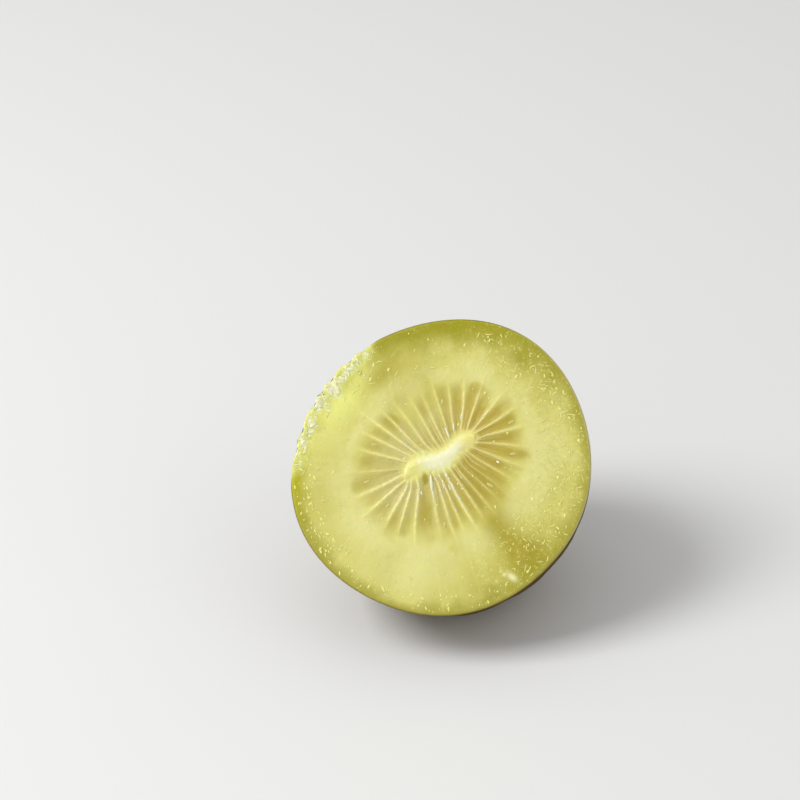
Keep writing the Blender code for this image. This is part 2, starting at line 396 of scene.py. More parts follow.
# %% Relief
TORN_FROM, TORN_TO, TORN_FADE = np.radians((122, 181, 7))
TORN_WIDTH = 2.4 * MM
SCALLOP_DEPTH, SCALLOP_LENGTH = 0.55 * MM, 4.1 * MM
BITE_WIDTH = 1.6 * MM
SEPTUM_HEIGHT, CAVITY_DEPTH = 0.022 * MM, 0.14 * MM
RIPPLE_HEIGHT, WAVE_HEIGHT = 0.012 * MM, 0.05 * MM
KNIFE_ROUNDING = 0.21 * MM


def torn(angle):
    """How torn the rim is in this direction: 1 on the torn stretch, fading to 0 past both its ends."""
    angle = np.mod(angle, FULL_TURN)
    return rise(TORN_FROM - TORN_FADE, TORN_FROM + TORN_FADE, angle) * fall(
        TORN_TO - TORN_FADE, TORN_TO + TORN_FADE, angle)


def bite(angle, distance):
    """How far the torn rim is bitten in: a row of uneven arches, which fades with the distance."""
    wander = 0.7 * np.sin(7 * angle + 1) + 0.5 * np.sin(17 * angle)
    arch = 1 - np.abs(np.sin(np.pi * MEAN_RADIUS * angle / SCALLOP_LENGTH + wander))
    return SCALLOP_DEPTH * torn(angle) * arch * bump(distance, 0, BITE_WIDTH)


def spot(right, up, size, stretch=1, turn=0):
    """A round or oval bell curve at a place of the face in mm, stretched along a turn in degrees."""
    right, up = plain_x / MM - right, plain_y / MM - up
    cosine, sine = np.cos(np.radians(turn)), np.sin(np.radians(turn))
    along, across = right * cosine + up * sine, up * cosine - right * sine
    return np.exp(-((along / (size * stretch)) ** 2) - (across / size) ** 2)


def spots(*rows):
    """A sum of such spots, each with its height before its place."""
    return sum(height * spot(*row) for height, *row in rows)


opening = rise(0, LOCULE_RAMP, share)
ends = locule_ends[locule]
hollow = np.sin(np.pi * in_pocket) * opening * fall(ends - LOCULE_RAMP, ends, share)
strength, reach = septum_strength[nearest], septum_reach[nearest]
line = bump(from_septum, 0, septum_width[nearest] * (1 + 0.8 * share)) * strength
line = line * rise(-0.04, 0.03, share) * fall(0.55 * reach, reach, share)
from_minor = np.abs(in_pocket - minor_place[locule]) * pocket_width
minor = bump(from_minor, 0, 0.09 * MM) * minor_strength[locule] * rise(-0.02, 0.03, share)
line = np.maximum(line, minor * fall(0.4, 1, share / minor_reach[locule]))
tear = torn(angles) * bump(from_rim, 0, TORN_WIDTH)

cavity = rise(0.1, 0.7, spot(-2.85, -2.3, 0.6, 1.8, 98))
fine_walls = hills(fan * (30, 30, 5), 1, 22) * opening * fall(0.1, 0.45, share)
shreds = 0.07 * hills(plain, 1.5 * MM, 26) + 0.035 * hills(plain, 0.6 * MM, 27)
waves = WAVE_HEIGHT * (hills(plain, 9 * MM, 23) - 1.5) * rise(0.3, 0.7, share)
relief = (0.7 * CORE_HEIGHT * fall(-0.9, 0.1, share)
          - 0.5 * LOCULE_DEPTH * locule_depth[locule] * hollow
          + SEPTUM_HEIGHT * line - CAVITY_DEPTH * cavity
          + RIPPLE_HEIGHT * fine_walls * (zones(turn, (1, -100, 14), (1, 68, 24)) + 0.3)
          + RIPPLE_HEIGHT * hills(plain, 1.3 * MM, 24)
          + (shreds - 0.1) * MM * tear
          + waves * rise(0, 2.5, rim_mm))
relief = np.where(share > 0.6, np.minimum(relief, 0), relief)
relief = relief - KNIFE_ROUNDING * fall(-0.1, 0.34, rim_mm)
print("the face rises and falls by", round(1000 * np.ptp(relief), 2), "mm")

# %% [markdown]
# ## Where the colours change
#
# Soft differences of tone have set places on this face: olive clouds, darker ends of some
# pockets, a yellower rim on one side, a scar, and stretches with many bright cells. Several are partly
# painted light: pale patches and a lit side on the left are a painted glow of the window, the clouds
# are deepened to the lower right as painted shade, the bright specks and the white heaps of the torn
# edge are partly painted glints, and a pale edge on the right is a painted highlight. Each is a sum of
# bell curves over the face. All are kept by name in `tones` and stored on the mesh, one number per
# point. The finish reads them and adds its own fine pattern.
#
# The darker ovals in the pockets are given by turn, width, share, half length and strength.

# %% Tones of the pockets
tones = {"share": share, "from_rim": rim_mm, "torn": tear, "cavity": cavity}
DARK_OVALS = (
    (-155, 4.5, 0.36, 0.07, 0.6), (-145, 3.5, 0.39, 0.07, 0.6), (-130, 5, 0.24, 0.14, 1),
    (-98, 3, 0.3, 0.1, 0.4), (-80, 9, 0.22, 0.17, 0.8), (-60, 9, 0.17, 0.1, 0.5), (-45, 5, 0.2, 0.09, 0.7),
    (-29, 4, 0.36, 0.12, 0.6), (-14, 5.5, 0.22, 0.13, 1), (0, 4, 0.28, 0.14, 0.5),
    (12, 4, 0.33, 0.12, 0.3), (38, 4, 0.36, 0.07, 0.25), (50, 4, 0.34, 0.1, 0.5),
    (62, 5, 0.37, 0.08, 0.6), (79, 5, 0.35, 0.08, 0.7), (109, 4, 0.38, 0.08, 0.8),
    (121, 4, 0.34, 0.08, 0.5), (134, 4, 0.34, 0.08, 0.4), (148, 6, 0.35, 0.06, 0.7),
    (165, 7, 0.38, 0.06, 0.5), (-70, 14, 0.15, 0.25, 0.8), (-25, 26, 0.05, 0.1, 0.55),
    (80, 14, 0.08, 0.12, 0.75), (-10, 8, 0.08, 0.08, 0.6),
)
further = zones(
    turn, (0.02, -150, 14), (0.02, -113, 8), (0.07, -28, 5), (-0.06, -45, 9), (0.06, -66, 14),
    (0.03, 10, 8), (-0.02, 68, 10), (-0.04, 92, 8), (0.05, 110, 5), (-0.03, 25, 5), (0.02, 165, 8))
olive_ends = 0.44 + olive_reach[locule] + 0.014 * hills(plain, 3 * MM, 28) + further
margin = 0.25 + 0.8 * rise(-0.3, 0.04, share - olive_ends)
olive = rise(-0.01, 0.06, share) * fall(olive_ends - 0.14, olive_ends + 0.05, share)
tones["olive"] = olive * (0.62 + 0.38 * rise(0, 1, 2 * to_edge / margin))
tones["pocket_tone"] = np.broadcast_to(locule_tone[locule], share.shape)
tones["ovals"] = sum(
    height * zone(turn, middle, width) * np.exp(-(((share - centre) / length) ** 4))
    for middle, width, centre, length, height in DARK_OVALS)
tones["pocket_ends"] = spots(
    (1, -8.9, 8.5, 1.1, 1.4, -40), (0.6, -15.6, -3.6, 1.3, 1.5, 90), (0.4, -6.6, -12, 1.4),
    (0.6, 14.4, 2.2, 1.1, 1.6), (1, 6.3, 14.2, 1.3, 1.3), (0.5, -2.5, 12.6, 1.9, 1.3),
    (0.8, 12.2, 8.6, 1.2, 1.3, 40), (0.9, -2.4, -8.2, 1, 2.6, 96))
faded_line = 0.35 * zone(turn, -32, 26) + 0.25 * zone(turn, -150, 22) * fall(0.2, 0.36, share)
tones["septum"] = line * (1 - faded_line)
septum_glow = bump(from_septum, 0, 0.5 * MM) * strength * rise(0, 0.1, share)
tones["septum_glow"] = septum_glow * fall(0.75 * reach, 1.15 * reach, share)

# %% Tones of the outer flesh
# Olive clouds of the flesh. The strong ones to the lower right also stand in for shade there: partly painted
# shade.
tones["clouds"] = spots(
    (1.3, 16, -17, 4, 1.3, 45), (1.1, 12.4, -13.4, 2.4, 1.7, -48), (0.9, 9.4, -9.6, 2.9),
    (1.2, -11.6, 16.6, 2.2, 2, 42), (1, 14.4, 19.4, 1.5, 1.5, -50), (0.4, -4, 16.6, 3.6),
    (0.5, -8, 12, 2.2, 1.5, 60), (0.35, 17.8, 15.6, 3.2, 1.6, -45), (0.35, -22, -6.2, 3, 1.8, 105),
    (0.4, 5.7, -21.6, 3, 1.6, 15), (0.5, 14.6, -15.6, 2.4), (0.35, -5.7, 21.2, 3, 1.6, 15))
# Pale patches of the flesh. Those on the left are partly a painted glow of the window's light through the
# thin flesh there.
tones["pale"] = spots(
    (0.9, -10.5, 13, 2.6), (0.6, -17.5, -2.5, 4.6), (0.9, -5, -18.3, 5, 1.4), (0.8, 18.7, 3, 4, 1.4, 90),
    (0.7, 15.8, -5.2, 2.6, 1.3), (0.7, 5.8, 16.4, 2.6, 1.4), (0.6, 6.6, -13.2, 2.2, 1.5),
    (0.6, 11, 13.6, 2.2), (0.85, -14.5, -10.5, 4.2))
# A painted pool of the window's light on the upper left of the flesh.
tones["painted_window_glow"] = spots((1.1, -18.4, 12.8, 3.3, 1.9, 52))
tones["scar"] = spots((1.2, 12.7, -19.9, 0.55, 2, -35), (1, 11.3, -19.5, 0.3))
tones["fleck"] = spots((1.2, -15, 17.2, 0.3))
# White heaps at the torn edge: whitish broken flesh, partly painted highlights of the wet breaks.
white_heaps = spots(
    (1, -20, 14.4, 1, 1.3, -60), (1, -22.6, 11.2, 0.9, 1.2, 60), (0.8, -24, 8.4, 0.7, 1.2, 60),
    (0.5, -25.3, 4.4, 0.55, 1.7, 80), (0.4, -17.2, 17.4, 0.6, 1.8, 45), (0.6, -14, 20.4, 0.5, 1.3, -50),
    (0.4, -18.4, 16, 0.7, 1.4, 45), (0.4, -19.2, 13.1, 0.8))
white_heaps = np.clip(white_heaps * (1 + 0.5 * hills(plain, 0.9 * MM, 30)), 0, 1)
tones["white_heaps"] = white_heaps
# A painted highlight: a thin pale line along the right rim where the edge catches the light, and a slight
# lightening of the outermost mm towards the lower right.
tones["painted_rim_light"] = (zone(angles, 12, 38) * fall(0.12, 0.34, rim_mm)
                      + 0.2 * zone(angles, -70, 75) * fall(0.6, 1.3, rim_mm))
tones["rim_breadth"] = 2 + zones(
    angles, (2, 86, 42), (1.1, -52, 26), (-0.7, -105, 30), (-0.6, -8, 30), (0.5, 45, 16))
tones["top_rim"] = zone(angles, 84, 34) * fall(1.2, 5.5, rim_mm)
tones["left_side"] = zone(angles, 184, 14) * bump(rim_mm, 0, 2.2)
# Where the bright specks and cells go: pale cells of the flesh, partly painted glints of the wet surface,
# most near the rim at the left and bottom, some on the right.
specks_and_glints = bump(rim_mm, 1.6, 2.8) * (0.08 + zones(angles, (1, -150, 26), (0.45, -95, 34)))
tones["specks_and_glints"] = specks_and_glints + 0.2 * bump(rim_mm, 5, 4.5) * zone(angles, 5, 46)

# %% Tones of the core
core_along = ((plain_x - CORE_CENTRE[0]) * np.cos(CORE_DIRECTION)
              + (plain_y - CORE_CENTRE[1]) * np.sin(CORE_DIRECTION)) / CORE_HALF_LENGTH
swelling = spots(
    (0.35, 0.9, -0.8, 2.2, 1.4, 25), (0.9, -5.4, -1.4, 1.4, 1.3, -60), (0.6, -3.4, 2.6, 2.2, 1.6, 20),
    (0.8, 4.9, 5.2, 1.5))
core_mm = np.where(share > 0, share * spoke_length, share * CORE_HALF_WIDTH) / MM
core_mm = core_mm - swelling - 0.5 * line
core_mm = core_mm - (0.12 + 0.25 * spot(-6.6, -1.4, 1.8)) * hills(plain, 0.9 * MM, 29)
tones["core_glow"] = fall(-1, 0.85, core_mm)
above_core = rise(0, 1.5, plain_y / MM - 1.7 - 0.45 * plain_x / MM)
tones["core_white"] = fall(-1.5, 0.1, core_mm + 0.4 * above_core) * fall(0.3, 0.8, np.abs(core_along - 0.06))
print(len(tones), "tones stored for", share.size, "points of the face")

# %% [markdown]
# ## The flesh
#
# The flesh is one closed surface: the cut face on top, and under the skin a plain wall that nobody
# sees. It has to be closed all the same, because light that enters a translucent fruit wanders about
# inside before it comes out, and it needs a body to wander in. Tones that matter at the torn edge
# carry on over the wall, and the others end at the rim.

# %% Flesh mesh
WALL_ROWS = 12
WALL_START = 0.3 * MM
WALL_CLEARANCE = 1.5 * MM
bitten = bite(angles, from_rim)
plain_x = plain_x - bitten * np.cos(angles)
plain_y = plain_y - bitten * np.sin(angles)
face_points = np.stack((plain_x, plain_y, np.minimum(relief, CORE_HEIGHT)), -1)

wall_angles = rim_angle(turns)[None, :]
wall_depth = (WALL_START + HALF_LENGTH * np.sin(0.5 * np.pi * np.linspace(0, 0.985, WALL_ROWS)))[:, None]
wall_inset = 0.8 * SKIN_THICKNESS + WALL_CLEARANCE * rise(0.5 * MM, 5 * MM, wall_depth)
wall_points = skin_place(wall_angles, wall_depth, wall_inset)
wall_points = wall_points - bite(wall_angles, wall_depth)[..., None] * around(wall_angles)
tip = skin_place(np.zeros(1), np.full(1, HALF_LENGTH), WALL_CLEARANCE)
flesh_points = np.concatenate((face_points.reshape(-1, 3), wall_points.reshape(-1, 3), tip))

rows, columns = len(shares) + WALL_ROWS, len(turns)
half = columns // 2
strip = np.arange(1, half - 1)
crest_quads = np.stack((strip, strip + 1, columns - strip - 1, columns - strip), -1)
crest_ends = np.array([(0, 1, columns - 1), (half - 1, half, half + 1)])
tip_fan = cap_faces((rows - 1) * columns, columns, rows * columns)
on_wall = {
    "share": 1, "rim_breadth": 2, "from_rim": 2.5 * torn(wall_angles), "clouds": 0.6 * torn(wall_angles),
    "torn": 0.12 * torn(wall_angles) * bump(wall_depth, 0, 2 * MM),
    "white_heaps": white_heaps[-1] * bump(wall_depth, 0, 1.5 * MM),
}


def with_wall(face_values, wall_values):
    """The values on the face, then those of the wall below it, and of the wall's tip."""
    wall_values = np.broadcast_to(wall_values, (WALL_ROWS, columns))
    return np.concatenate((face_values.ravel(), wall_values.ravel(), wall_values[-1, -1:]))


flesh = make_piece(
    "flesh", lay_down(flesh_points, floor=WALL_CLEARANCE),
    np.concatenate((ring_faces(rows, columns)[:, ::-1], crest_quads)),
    np.concatenate((crest_ends, tip_fan[:, ::-1])),
    local_mm=flesh_points / MM,
    fan=np.concatenate((fan.reshape(-1, 3), np.tile((1, 0, 1), (WALL_ROWS * columns + 1, 1)))),
    **{name: with_wall(values, on_wall.get(name, 0)) for name, values in tones.items()},
)

# %% [markdown]
# ## The blossom end
#
# Where the flower sat, the skin closes on a shallow collared pit with dried stubs round a dead style.
# The height of this relief is a sum of bell curves of the distance from the axis. The stubs are the
# upper halves of a cosine round the pit, and fine wrinkles run across the collar like pleats.

# %% Relief of the blossom end
PIT_DEPTH, PIT_RADIUS = 1.3 * MM, 4.2 * MM
COLLAR_HEIGHT, COLLAR_RADIUS, COLLAR_WIDTH = 0.35 * MM, 6 * MM, 1.5 * MM
REMNANT_COUNT, REMNANT_WANDER = 7, 0.6
REMNANT_HEIGHT, REMNANT_RADIUS, REMNANT_LENGTH = 1 * MM, 2.6 * MM, 1.2 * MM
STYLE_HEIGHT, STYLE_RADIUS = 1.1 * MM, 0.9 * MM


def end_relief(radius, angle):
    """How far the skin stands out at the blossom end, as a sum of bell curves of the radius."""
    stub = np.maximum(np.cos(REMNANT_COUNT * angle + REMNANT_WANDER * np.sin(2 * angle)), 0)
    return (COLLAR_HEIGHT * bump(radius, COLLAR_RADIUS, COLLAR_WIDTH)
            - PIT_DEPTH * bump(radius, 0, PIT_RADIUS)
            + REMNANT_HEIGHT * stub * bump(radius, REMNANT_RADIUS, REMNANT_LENGTH)
            + STYLE_HEIGHT * bump(radius, 0, STYLE_RADIUS))


def depth_at_radius(radius):
    """The depth at which the barrel has this mean radius."""
    return HALF_LENGTH * (1 - (radius / MEAN_RADIUS) ** 2) ** (1 / BLUNTNESS)


def radius_at_depth(depth):
    """The barrel's mean radius at this depth."""
    return MEAN_RADIUS * np.sqrt(1 - (depth / HALF_LENGTH) ** BLUNTNESS)


# %% [markdown]
# ## The skin
#
# A golden kiwi's skin is smooth and barely thicker than paper. It is a thin closed shell: its outside
# runs from the cut to the blossom end, its inside comes back, and the knife's narrow edge joins them.
# Shallow dents keep the highlights from looking turned on a lathe. On the torn stretch the skin's edge
# is missing, so it dives under the flesh there and the bare flesh makes the outline.

# %% Sides of the skin
SKIN_COLUMNS = 420
SKIN_AROUND = np.linspace(0, FULL_TURN, SKIN_COLUMNS, endpoint=False)[None, :]
END_RADIUS = 9 * MM
POLE_RADIUS = 0.12 * MM
TORN_SKIN = 0.5 * MM
PLEAT_HEIGHT = 0.05 * MM


def skin_sheet(depth, inset):
    """One side of the skin, with dents, pleats and bites, and how far its blossom end stands out."""
    depth = depth[:, None]
    points = skin_place(SKIN_AROUND, depth, inset[:, None])
    radius = radius_at_depth(depth)
    pleats = hills(around(SKIN_AROUND, radius / MM) * (9, 9, 1), 1.6, 31) - 1
    standing = end_relief(radius, SKIN_AROUND) * rise(0.7, 0.85, depth / HALF_LENGTH)
    standing = standing + PLEAT_HEIGHT * pleats * bump(radius, 4.6 * MM, 2.4 * MM)
    dents = 0.09 * MM * (hills(points, 13 * MM, 32) - 1.2) + 0.02 * MM * (hills(points, 4 * MM, 33) - 1)
    dents = np.minimum(dents, 0) * rise(0, 5 * MM, depth)
    points = points + unit(points * (1, 1, 0.5)) * dents[..., None]
    points[..., 2] -= standing
    lost = bite(SKIN_AROUND, depth) + TORN_SKIN * torn(SKIN_AROUND) * bump(depth, 0, 0.9 * MM)
    return points - lost[..., None] * around(SKIN_AROUND), standing


def shell(outer, inner):
    """The points of both sides, then their poles, which are the means of the rings round them."""
    return np.concatenate((outer.reshape(-1, 3), inner.reshape(-1, 3), outer[-1:].mean(1), inner[:1].mean(1)))


# %% Skin mesh
lip_inset = np.array([1, 0.66, 0.3, 0.06]) * SKIN_THICKNESS
lip_depth = np.array([0.21, 0.25, 0.3, 0.37]) * MM
belt = SHOULDER + np.sin(0.5 * np.pi * np.linspace(0.01, 1, 60)) * (depth_at_radius(END_RADIUS) - SHOULDER)
end_depth = depth_at_radius(np.linspace(END_RADIUS, POLE_RADIUS, 64)[1:])
outer_depth = np.concatenate((lip_depth, belt, end_depth))
outer_inset = np.concatenate((lip_inset, 0 * belt, 0 * end_depth))
inner_depth = np.concatenate((lip_depth[:1] + 0.2 * MM, belt[5::3], end_depth[3::5], end_depth[-1:]))[::-1]
inner_inset = SKIN_THICKNESS * (1 + 4 * rise(0.6, 0.9, inner_depth / HALF_LENGTH))
outer, standing = skin_sheet(outer_depth, outer_inset)
inner = skin_sheet(inner_depth, inner_inset)[0]

outer_rows, inner_rows = len(outer_depth), len(inner_depth)
inner_first, pole = outer_rows * SKIN_COLUMNS, (outer_rows + inner_rows) * SKIN_COLUMNS
here = np.arange(SKIN_COLUMNS)
after, last_ring = np.roll(here, -1), pole - SKIN_COLUMNS
knife_edge = np.stack((last_ring + here, last_ring + after, after, here), -1)
outer_cap = cap_faces(inner_first - SKIN_COLUMNS, SKIN_COLUMNS, pole)
inner_cap = cap_faces(inner_first, SKIN_COLUMNS, pole + 1)
skin_quads = np.concatenate((
    ring_faces(outer_rows, SKIN_COLUMNS), ring_faces(inner_rows, SKIN_COLUMNS, inner_first), knife_edge))


def with_inside(outer_values, inside_value=0):
    """The values on the outside, row by row, then one value for all of the inside."""
    outer_values = np.broadcast_to(outer_values, (outer_rows, SKIN_COLUMNS))
    return np.concatenate((outer_values.ravel(), np.full(inner_rows * SKIN_COLUMNS + 2, inside_value)))


skin = make_piece(
    "skin", shell(lay_down(outer), lay_down(inner, SKIN_THICKNESS)), skin_quads[:, ::-1],
    np.concatenate((outer_cap[:, ::-1], inner_cap)),
    local_mm=shell(outer, inner) / MM,
    knife_edge=with_inside(fall(0.3, 0.4, outer_depth / MM)[:, None]),
    from_cut=with_inside(outer_depth[:, None] / MM),
    from_end=with_inside(radius_at_depth(outer_depth)[:, None] / MM, END_RADIUS / MM),
    stubs=with_inside(standing / MM),
)

# %% [markdown]
# ## Small things by the hundred
#
# Crumbs, bright cells full of juice and unripe seeds are all one shape: a small sphere that is
# stretched, turned and dented. They are made in one go: the base sphere is an array, the places and
# turns are arrays, and their product is every point of every blob.


# %% Blobs
def base_sphere(bands, sides):
    """Points and faces of a unit sphere: bands of latitude, and a pole at either end."""
    up = np.linspace(0, np.pi, bands + 1)[1:-1, None]
    turn = np.linspace(0, FULL_TURN, sides, endpoint=False)[None, :]
    rings = around(turn) * np.sin(up)[..., None] + np.cos(up)[..., None] * (0, 0, 1)
    points = np.concatenate((rings.reshape(-1, 3), ((0, 0, 1), (0, 0, -1))))
    bottom = cap_faces((bands - 2) * sides, sides, len(points) - 1)[:, ::-1]
    caps = np.concatenate((cap_faces(0, sides, len(points) - 2), bottom))
    return points, ring_faces(bands - 1, sides)[:, ::-1], caps


def blobs(name, centres, headings, sizes, dent, seed, sink, shape):
    """Many spheres on the cut face. Each is dented, stretched to its size, and turned to its heading."""
    ball, quads, caps = base_sphere(*shape)
    size, count = len(ball), len(centres)
    draw = np.random.default_rng(seed)
    elsewhere = draw.uniform(-50, 50, (count, 1, 3))
    dents = dent * hills(ball[None] + elsewhere, 1.7, seed)[..., None]
    x, y, z = np.moveaxis(ball[None] * (1 + dents) * sizes[:, None, :], -1, 0)
    cosine, sine = np.cos(headings)[:, None], np.sin(headings)[:, None]
    points = centres[:, None, :] + np.stack((x * cosine - y * sine, x * sine + y * cosine, z), -1)
    points[..., 2] += sizes[:, 2:] * (1 - 2 * sink)
    return make_piece(
        name, lay_down(points), copies(quads, size, count), copies(caps, size, count),
        local_mm=points.reshape(-1, 3) / MM, lot=np.repeat(draw.uniform(0, 1, count), size))


def oval_sizes(length, wide, high, seed):
    """Half lengths, half widths and half heights: each is a share, drawn from a range, of the length."""
    draw = np.random.default_rng(seed)
    width, height = (length * draw.uniform(*shares, len(length)) for shares in (wide, high))
    return np.stack((length, width, height), -1)


cell_size = np.hypot(np.gradient(plain_x, axis=0), np.gradient(plain_y, axis=0)) * np.hypot(
    np.gradient(plain_x, axis=1), np.gradient(plain_y, axis=1))


def pick_places(weight, count, seed):
    """Row and column of this many different points of the face, drawn with chances given by the weight."""
    chance = (weight * cell_size).ravel()
    places = np.random.default_rng(seed).choice(chance.size, count, replace=False, p=chance / chance.sum())
    return np.unravel_index(places, weight.shape)


def chosen(table, flatness):
    """Places, headings and sizes from rows of mm right and up, half length, half width, and degrees."""
    right, up, length, width, heading = np.array(table).T
    gaps = np.hypot(plain_x.ravel()[:, None] - right * MM, plain_y.ravel()[:, None] - up * MM)
    sizes = np.stack((length, width, flatness * width), -1) * MM
    return face_points.reshape(-1, 3)[gaps.argmin(0)], np.radians(heading), sizes


# %% [markdown]
# ## Crumbs on the torn edge
#
# Where the skin was torn rather than cut, the flesh breaks into wet, almost white splinters that point
# inwards and lie in little heaps. They are stretched and dented spheres. They crowd where random hills
# are high, so the heaps and gaps are as uneven as real ones. The larger shards are at places chosen for
# this fruit: millimetres right and up, half length, half width, and heading.

# %% Crumbs
SHARDS = (
    (-19.6, 14.8, 0.8, 0.4, -52), (-19.1, 14, 0.65, 0.3, -75), (-25.6, 4.6, 0.95, 0.3, 80),
    (-25, 3.1, 0.6, 0.25, 75), (-22.8, 11.3, 0.65, 0.35, 60), (-22.4, 10.5, 0.45, 0.25, 20),
    (-24, 8.5, 0.7, 0.32, 65), (-23.5, 7.6, 0.55, 0.22, 35), (-13.9, 20.6, 0.5, 0.24, -60),
    (-18.3, 16.3, 0.5, 0.28, -45), (-17.6, 17.2, 0.45, 0.26, -50), (-16.4, 18.5, 0.4, 0.24, -55),
)
CRUMB_COUNT = 230
crumb_draw = np.random.default_rng(41)
heaps = np.clip(0.6 + 0.7 * hills(plain, 3.4 * MM, 42), 0, 2)
crumb_weight = torn(angles) ** 2 * bump(rim_mm, 0.9, 1.4) * rise(0.2, 0.6, rim_mm)
crumb_places = pick_places(crumb_weight * (heaps + 1.5 * white_heaps), CRUMB_COUNT, 43)
crumb_length = (0.15 + 0.4 * crumb_draw.random(CRUMB_COUNT) ** 2.5) * MM
crumb_heading = angles[crumb_places] + crumb_draw.normal(0, 0.5, CRUMB_COUNT)
shard_places, shard_headings, shard_sizes = chosen(SHARDS, 0.3)
crumbs = blobs(
    "torn_crumbs",
    np.concatenate((face_points[crumb_places], shard_places)),
    np.concatenate((crumb_heading, shard_headings)),
    np.concatenate((oval_sizes(crumb_length, (0.24, 0.42), (0.14, 0.24), 45), shard_sizes)),
    dent=0.2, seed=44, sink=0.7, shape=(8, 12),
)

# %% [markdown]
# ## Bright cells
#
# Large cells of the outer flesh are cut open by the knife, and each holds a bead of juice. The juice's
# shine is partly painted: the cells' pale yellow is partly their own colour and partly a painted glint.
# Along the left and at the bottom they are short dashes that stand upright like the fibres there, and
# they crowd towards the rim. Here and there a rounder one lies further in.

# %% Bright cells
CELL_COUNT, ROUND_CELLS = 400, 50
DASH_COUNT = CELL_COUNT - ROUND_CELLS
cell_draw = np.random.default_rng(51)
dashes = pick_places((tones["specks_and_glints"] + 0.03) * rise(0.35, 0.9, rim_mm), DASH_COUNT, 52)
round_ones = pick_places((0.3 + zone(angles, -30, 40)) * bump(rim_mm, 9, 5), ROUND_CELLS, 55)
cell_places = tuple(np.concatenate(pair) for pair in zip(dashes, round_ones))
is_round = np.arange(CELL_COUNT) >= DASH_COUNT
cell_length = np.where(is_round, 0.12 + 0.1 * cell_draw.random(CELL_COUNT) ** 2,
                       0.15 + 0.3 * cell_draw.random(CELL_COUNT) ** 2.5) * MM
cell_sizes = oval_sizes(cell_length, (0.3, 0.6), (0.12, 0.2), 53)
cell_sizes[is_round, 1] = 0.85 * cell_length[is_round]
cells = blobs(
    "bright_cells", face_points[cell_places], cell_draw.normal(0.5 * np.pi, 0.45, CELL_COUNT), cell_sizes,
    dent=0.06, seed=54, sink=0.6, shape=(5, 8),
)

# %% [markdown]
# ## Curled strands
#
# On the right side the fibres are cut at a slant. Their ends show as short bright strands that curl
# like commas. Each is a flattened tube, sunk by half, along an arc whose heading turns as it goes.


# %% Flattened tubes
def flat_tubes(name, paths, across, out, ring):
    """Closed tubes: round each path runs an oval whose half axes are the vectors across and out."""
    turn = np.linspace(0, FULL_TURN, ring, endpoint=False)[:, None]
    walls = paths[:, :, None, :] + across[:, :, None, :] * np.cos(turn) + out[:, :, None, :] * np.sin(turn)
    count, steps = paths.shape[:2]
    size = steps * ring + 2
    points = np.concatenate((walls.reshape(count, -1, 3), paths[:, :1], paths[:, -1:]), 1)
    last_cap = cap_faces((steps - 1) * ring, ring, size - 1)
    caps = np.concatenate((cap_faces(0, ring, size - 2)[:, ::-1], last_cap))
    return make_piece(
        name, lay_down(points), copies(ring_faces(steps, ring), size, count), copies(caps, size, count),
        local_mm=points.reshape(-1, 3) / MM,
        lot=np.repeat(np.random.default_rng(count).uniform(0, 1, count), size))


# %% Curled strands
STRAND_COUNT, STRAND_STEPS = 270, 9
STRAND_LIFT = 0.012 * MM
EACH_STRAND = (STRAND_COUNT, 1)
strand_draw = np.random.default_rng(58)
slanted = bump(rim_mm, 4.5, 4.5) * (zone(angles, 2, 44) + 0.1) * rise(0.9, 1.6, rim_mm)
strand_places = pick_places(slanted * rise(0.45, 0.6, share), STRAND_COUNT, 59)
way = np.linspace(-0.5, 0.5, STRAND_STEPS)[None, :]
step_length = (0.6 + 1.1 * strand_draw.random(EACH_STRAND) ** 1.6) * MM / STRAND_STEPS
heading = strand_draw.uniform(0, FULL_TURN, EACH_STRAND) + way * strand_draw.normal(0, 1, EACH_STRAND)
strand_paths = np.cumsum(around(heading) * step_length[..., None], 1) + (0, 0, STRAND_LIFT)
taper = np.sqrt(np.clip(1.02 - (2 * way) ** 2, 0, 1))
strand_width = (strand_draw.uniform(0.08, 0.14, EACH_STRAND) * MM * taper)[..., None]
strands = flat_tubes(
    "curled_strands", face_points[strand_places][:, None, :] + strand_paths,
    around(heading + 0.5 * np.pi) * strand_width, np.array((0, 0, 0.4)) * strand_width, ring=6)

# %% [markdown]
# ## Beads of juice
#
# Juice wells up where the knife passed close to the core. Real juice is clear, but these round beads
# are coloured near white, a painted highlight, and each also shows the window as one small white glint,
# so a few of them do a lot for the wet look. The large ones are at chosen places, given as for the
# shards. Small droplets sit on the septa, where the line is brightest.

# %% Juice beads
BEADS = (
    (-1.8, -3.2, 1.6, 0.24, 95), (-1.5, -5.3, 0.9, 0.12, 98), (1.1, 5.9, 0.85, 0.2, 112),
    (0.7, 6.8, 0.35, 0.16, 125), (2.2, 7.1, 0.7, 0.16, 93), (3.5, 9.1, 0.7, 0.1, 84),
    (-6.8, 1.4, 0.24, 0.12, -20), (10.1, 0.7, 0.36, 0.2, -40), (-3.6, -4.9, 0.34, 0.15, 105),
    (2.9, -3.1, 0.26, 0.12, 60), (3.7, -4, 0.2, 0.1, 40), (0.3, -3.4, 0.5, 0.1, 108),
    (1.5, -3.9, 0.6, 0.1, 114),
)
DROPLET_COUNT = 90
droplet_draw = np.random.default_rng(57)
wet_septa = zones(turn, (1, -98, 13), (0.25, 108, 22), (0.3, -135, 20)) * bump(share, 0.13, 0.12)
droplet_places = pick_places(wet_septa * line**3 * (share > 0.02), DROPLET_COUNT, 60)
droplet = (0.07 + 0.09 * droplet_draw.random(DROPLET_COUNT) ** 2) * MM
droplet_length = droplet * droplet_draw.uniform(1, 2.2, DROPLET_COUNT)
bead_places, bead_headings, bead_sizes = chosen(BEADS, 0.7)
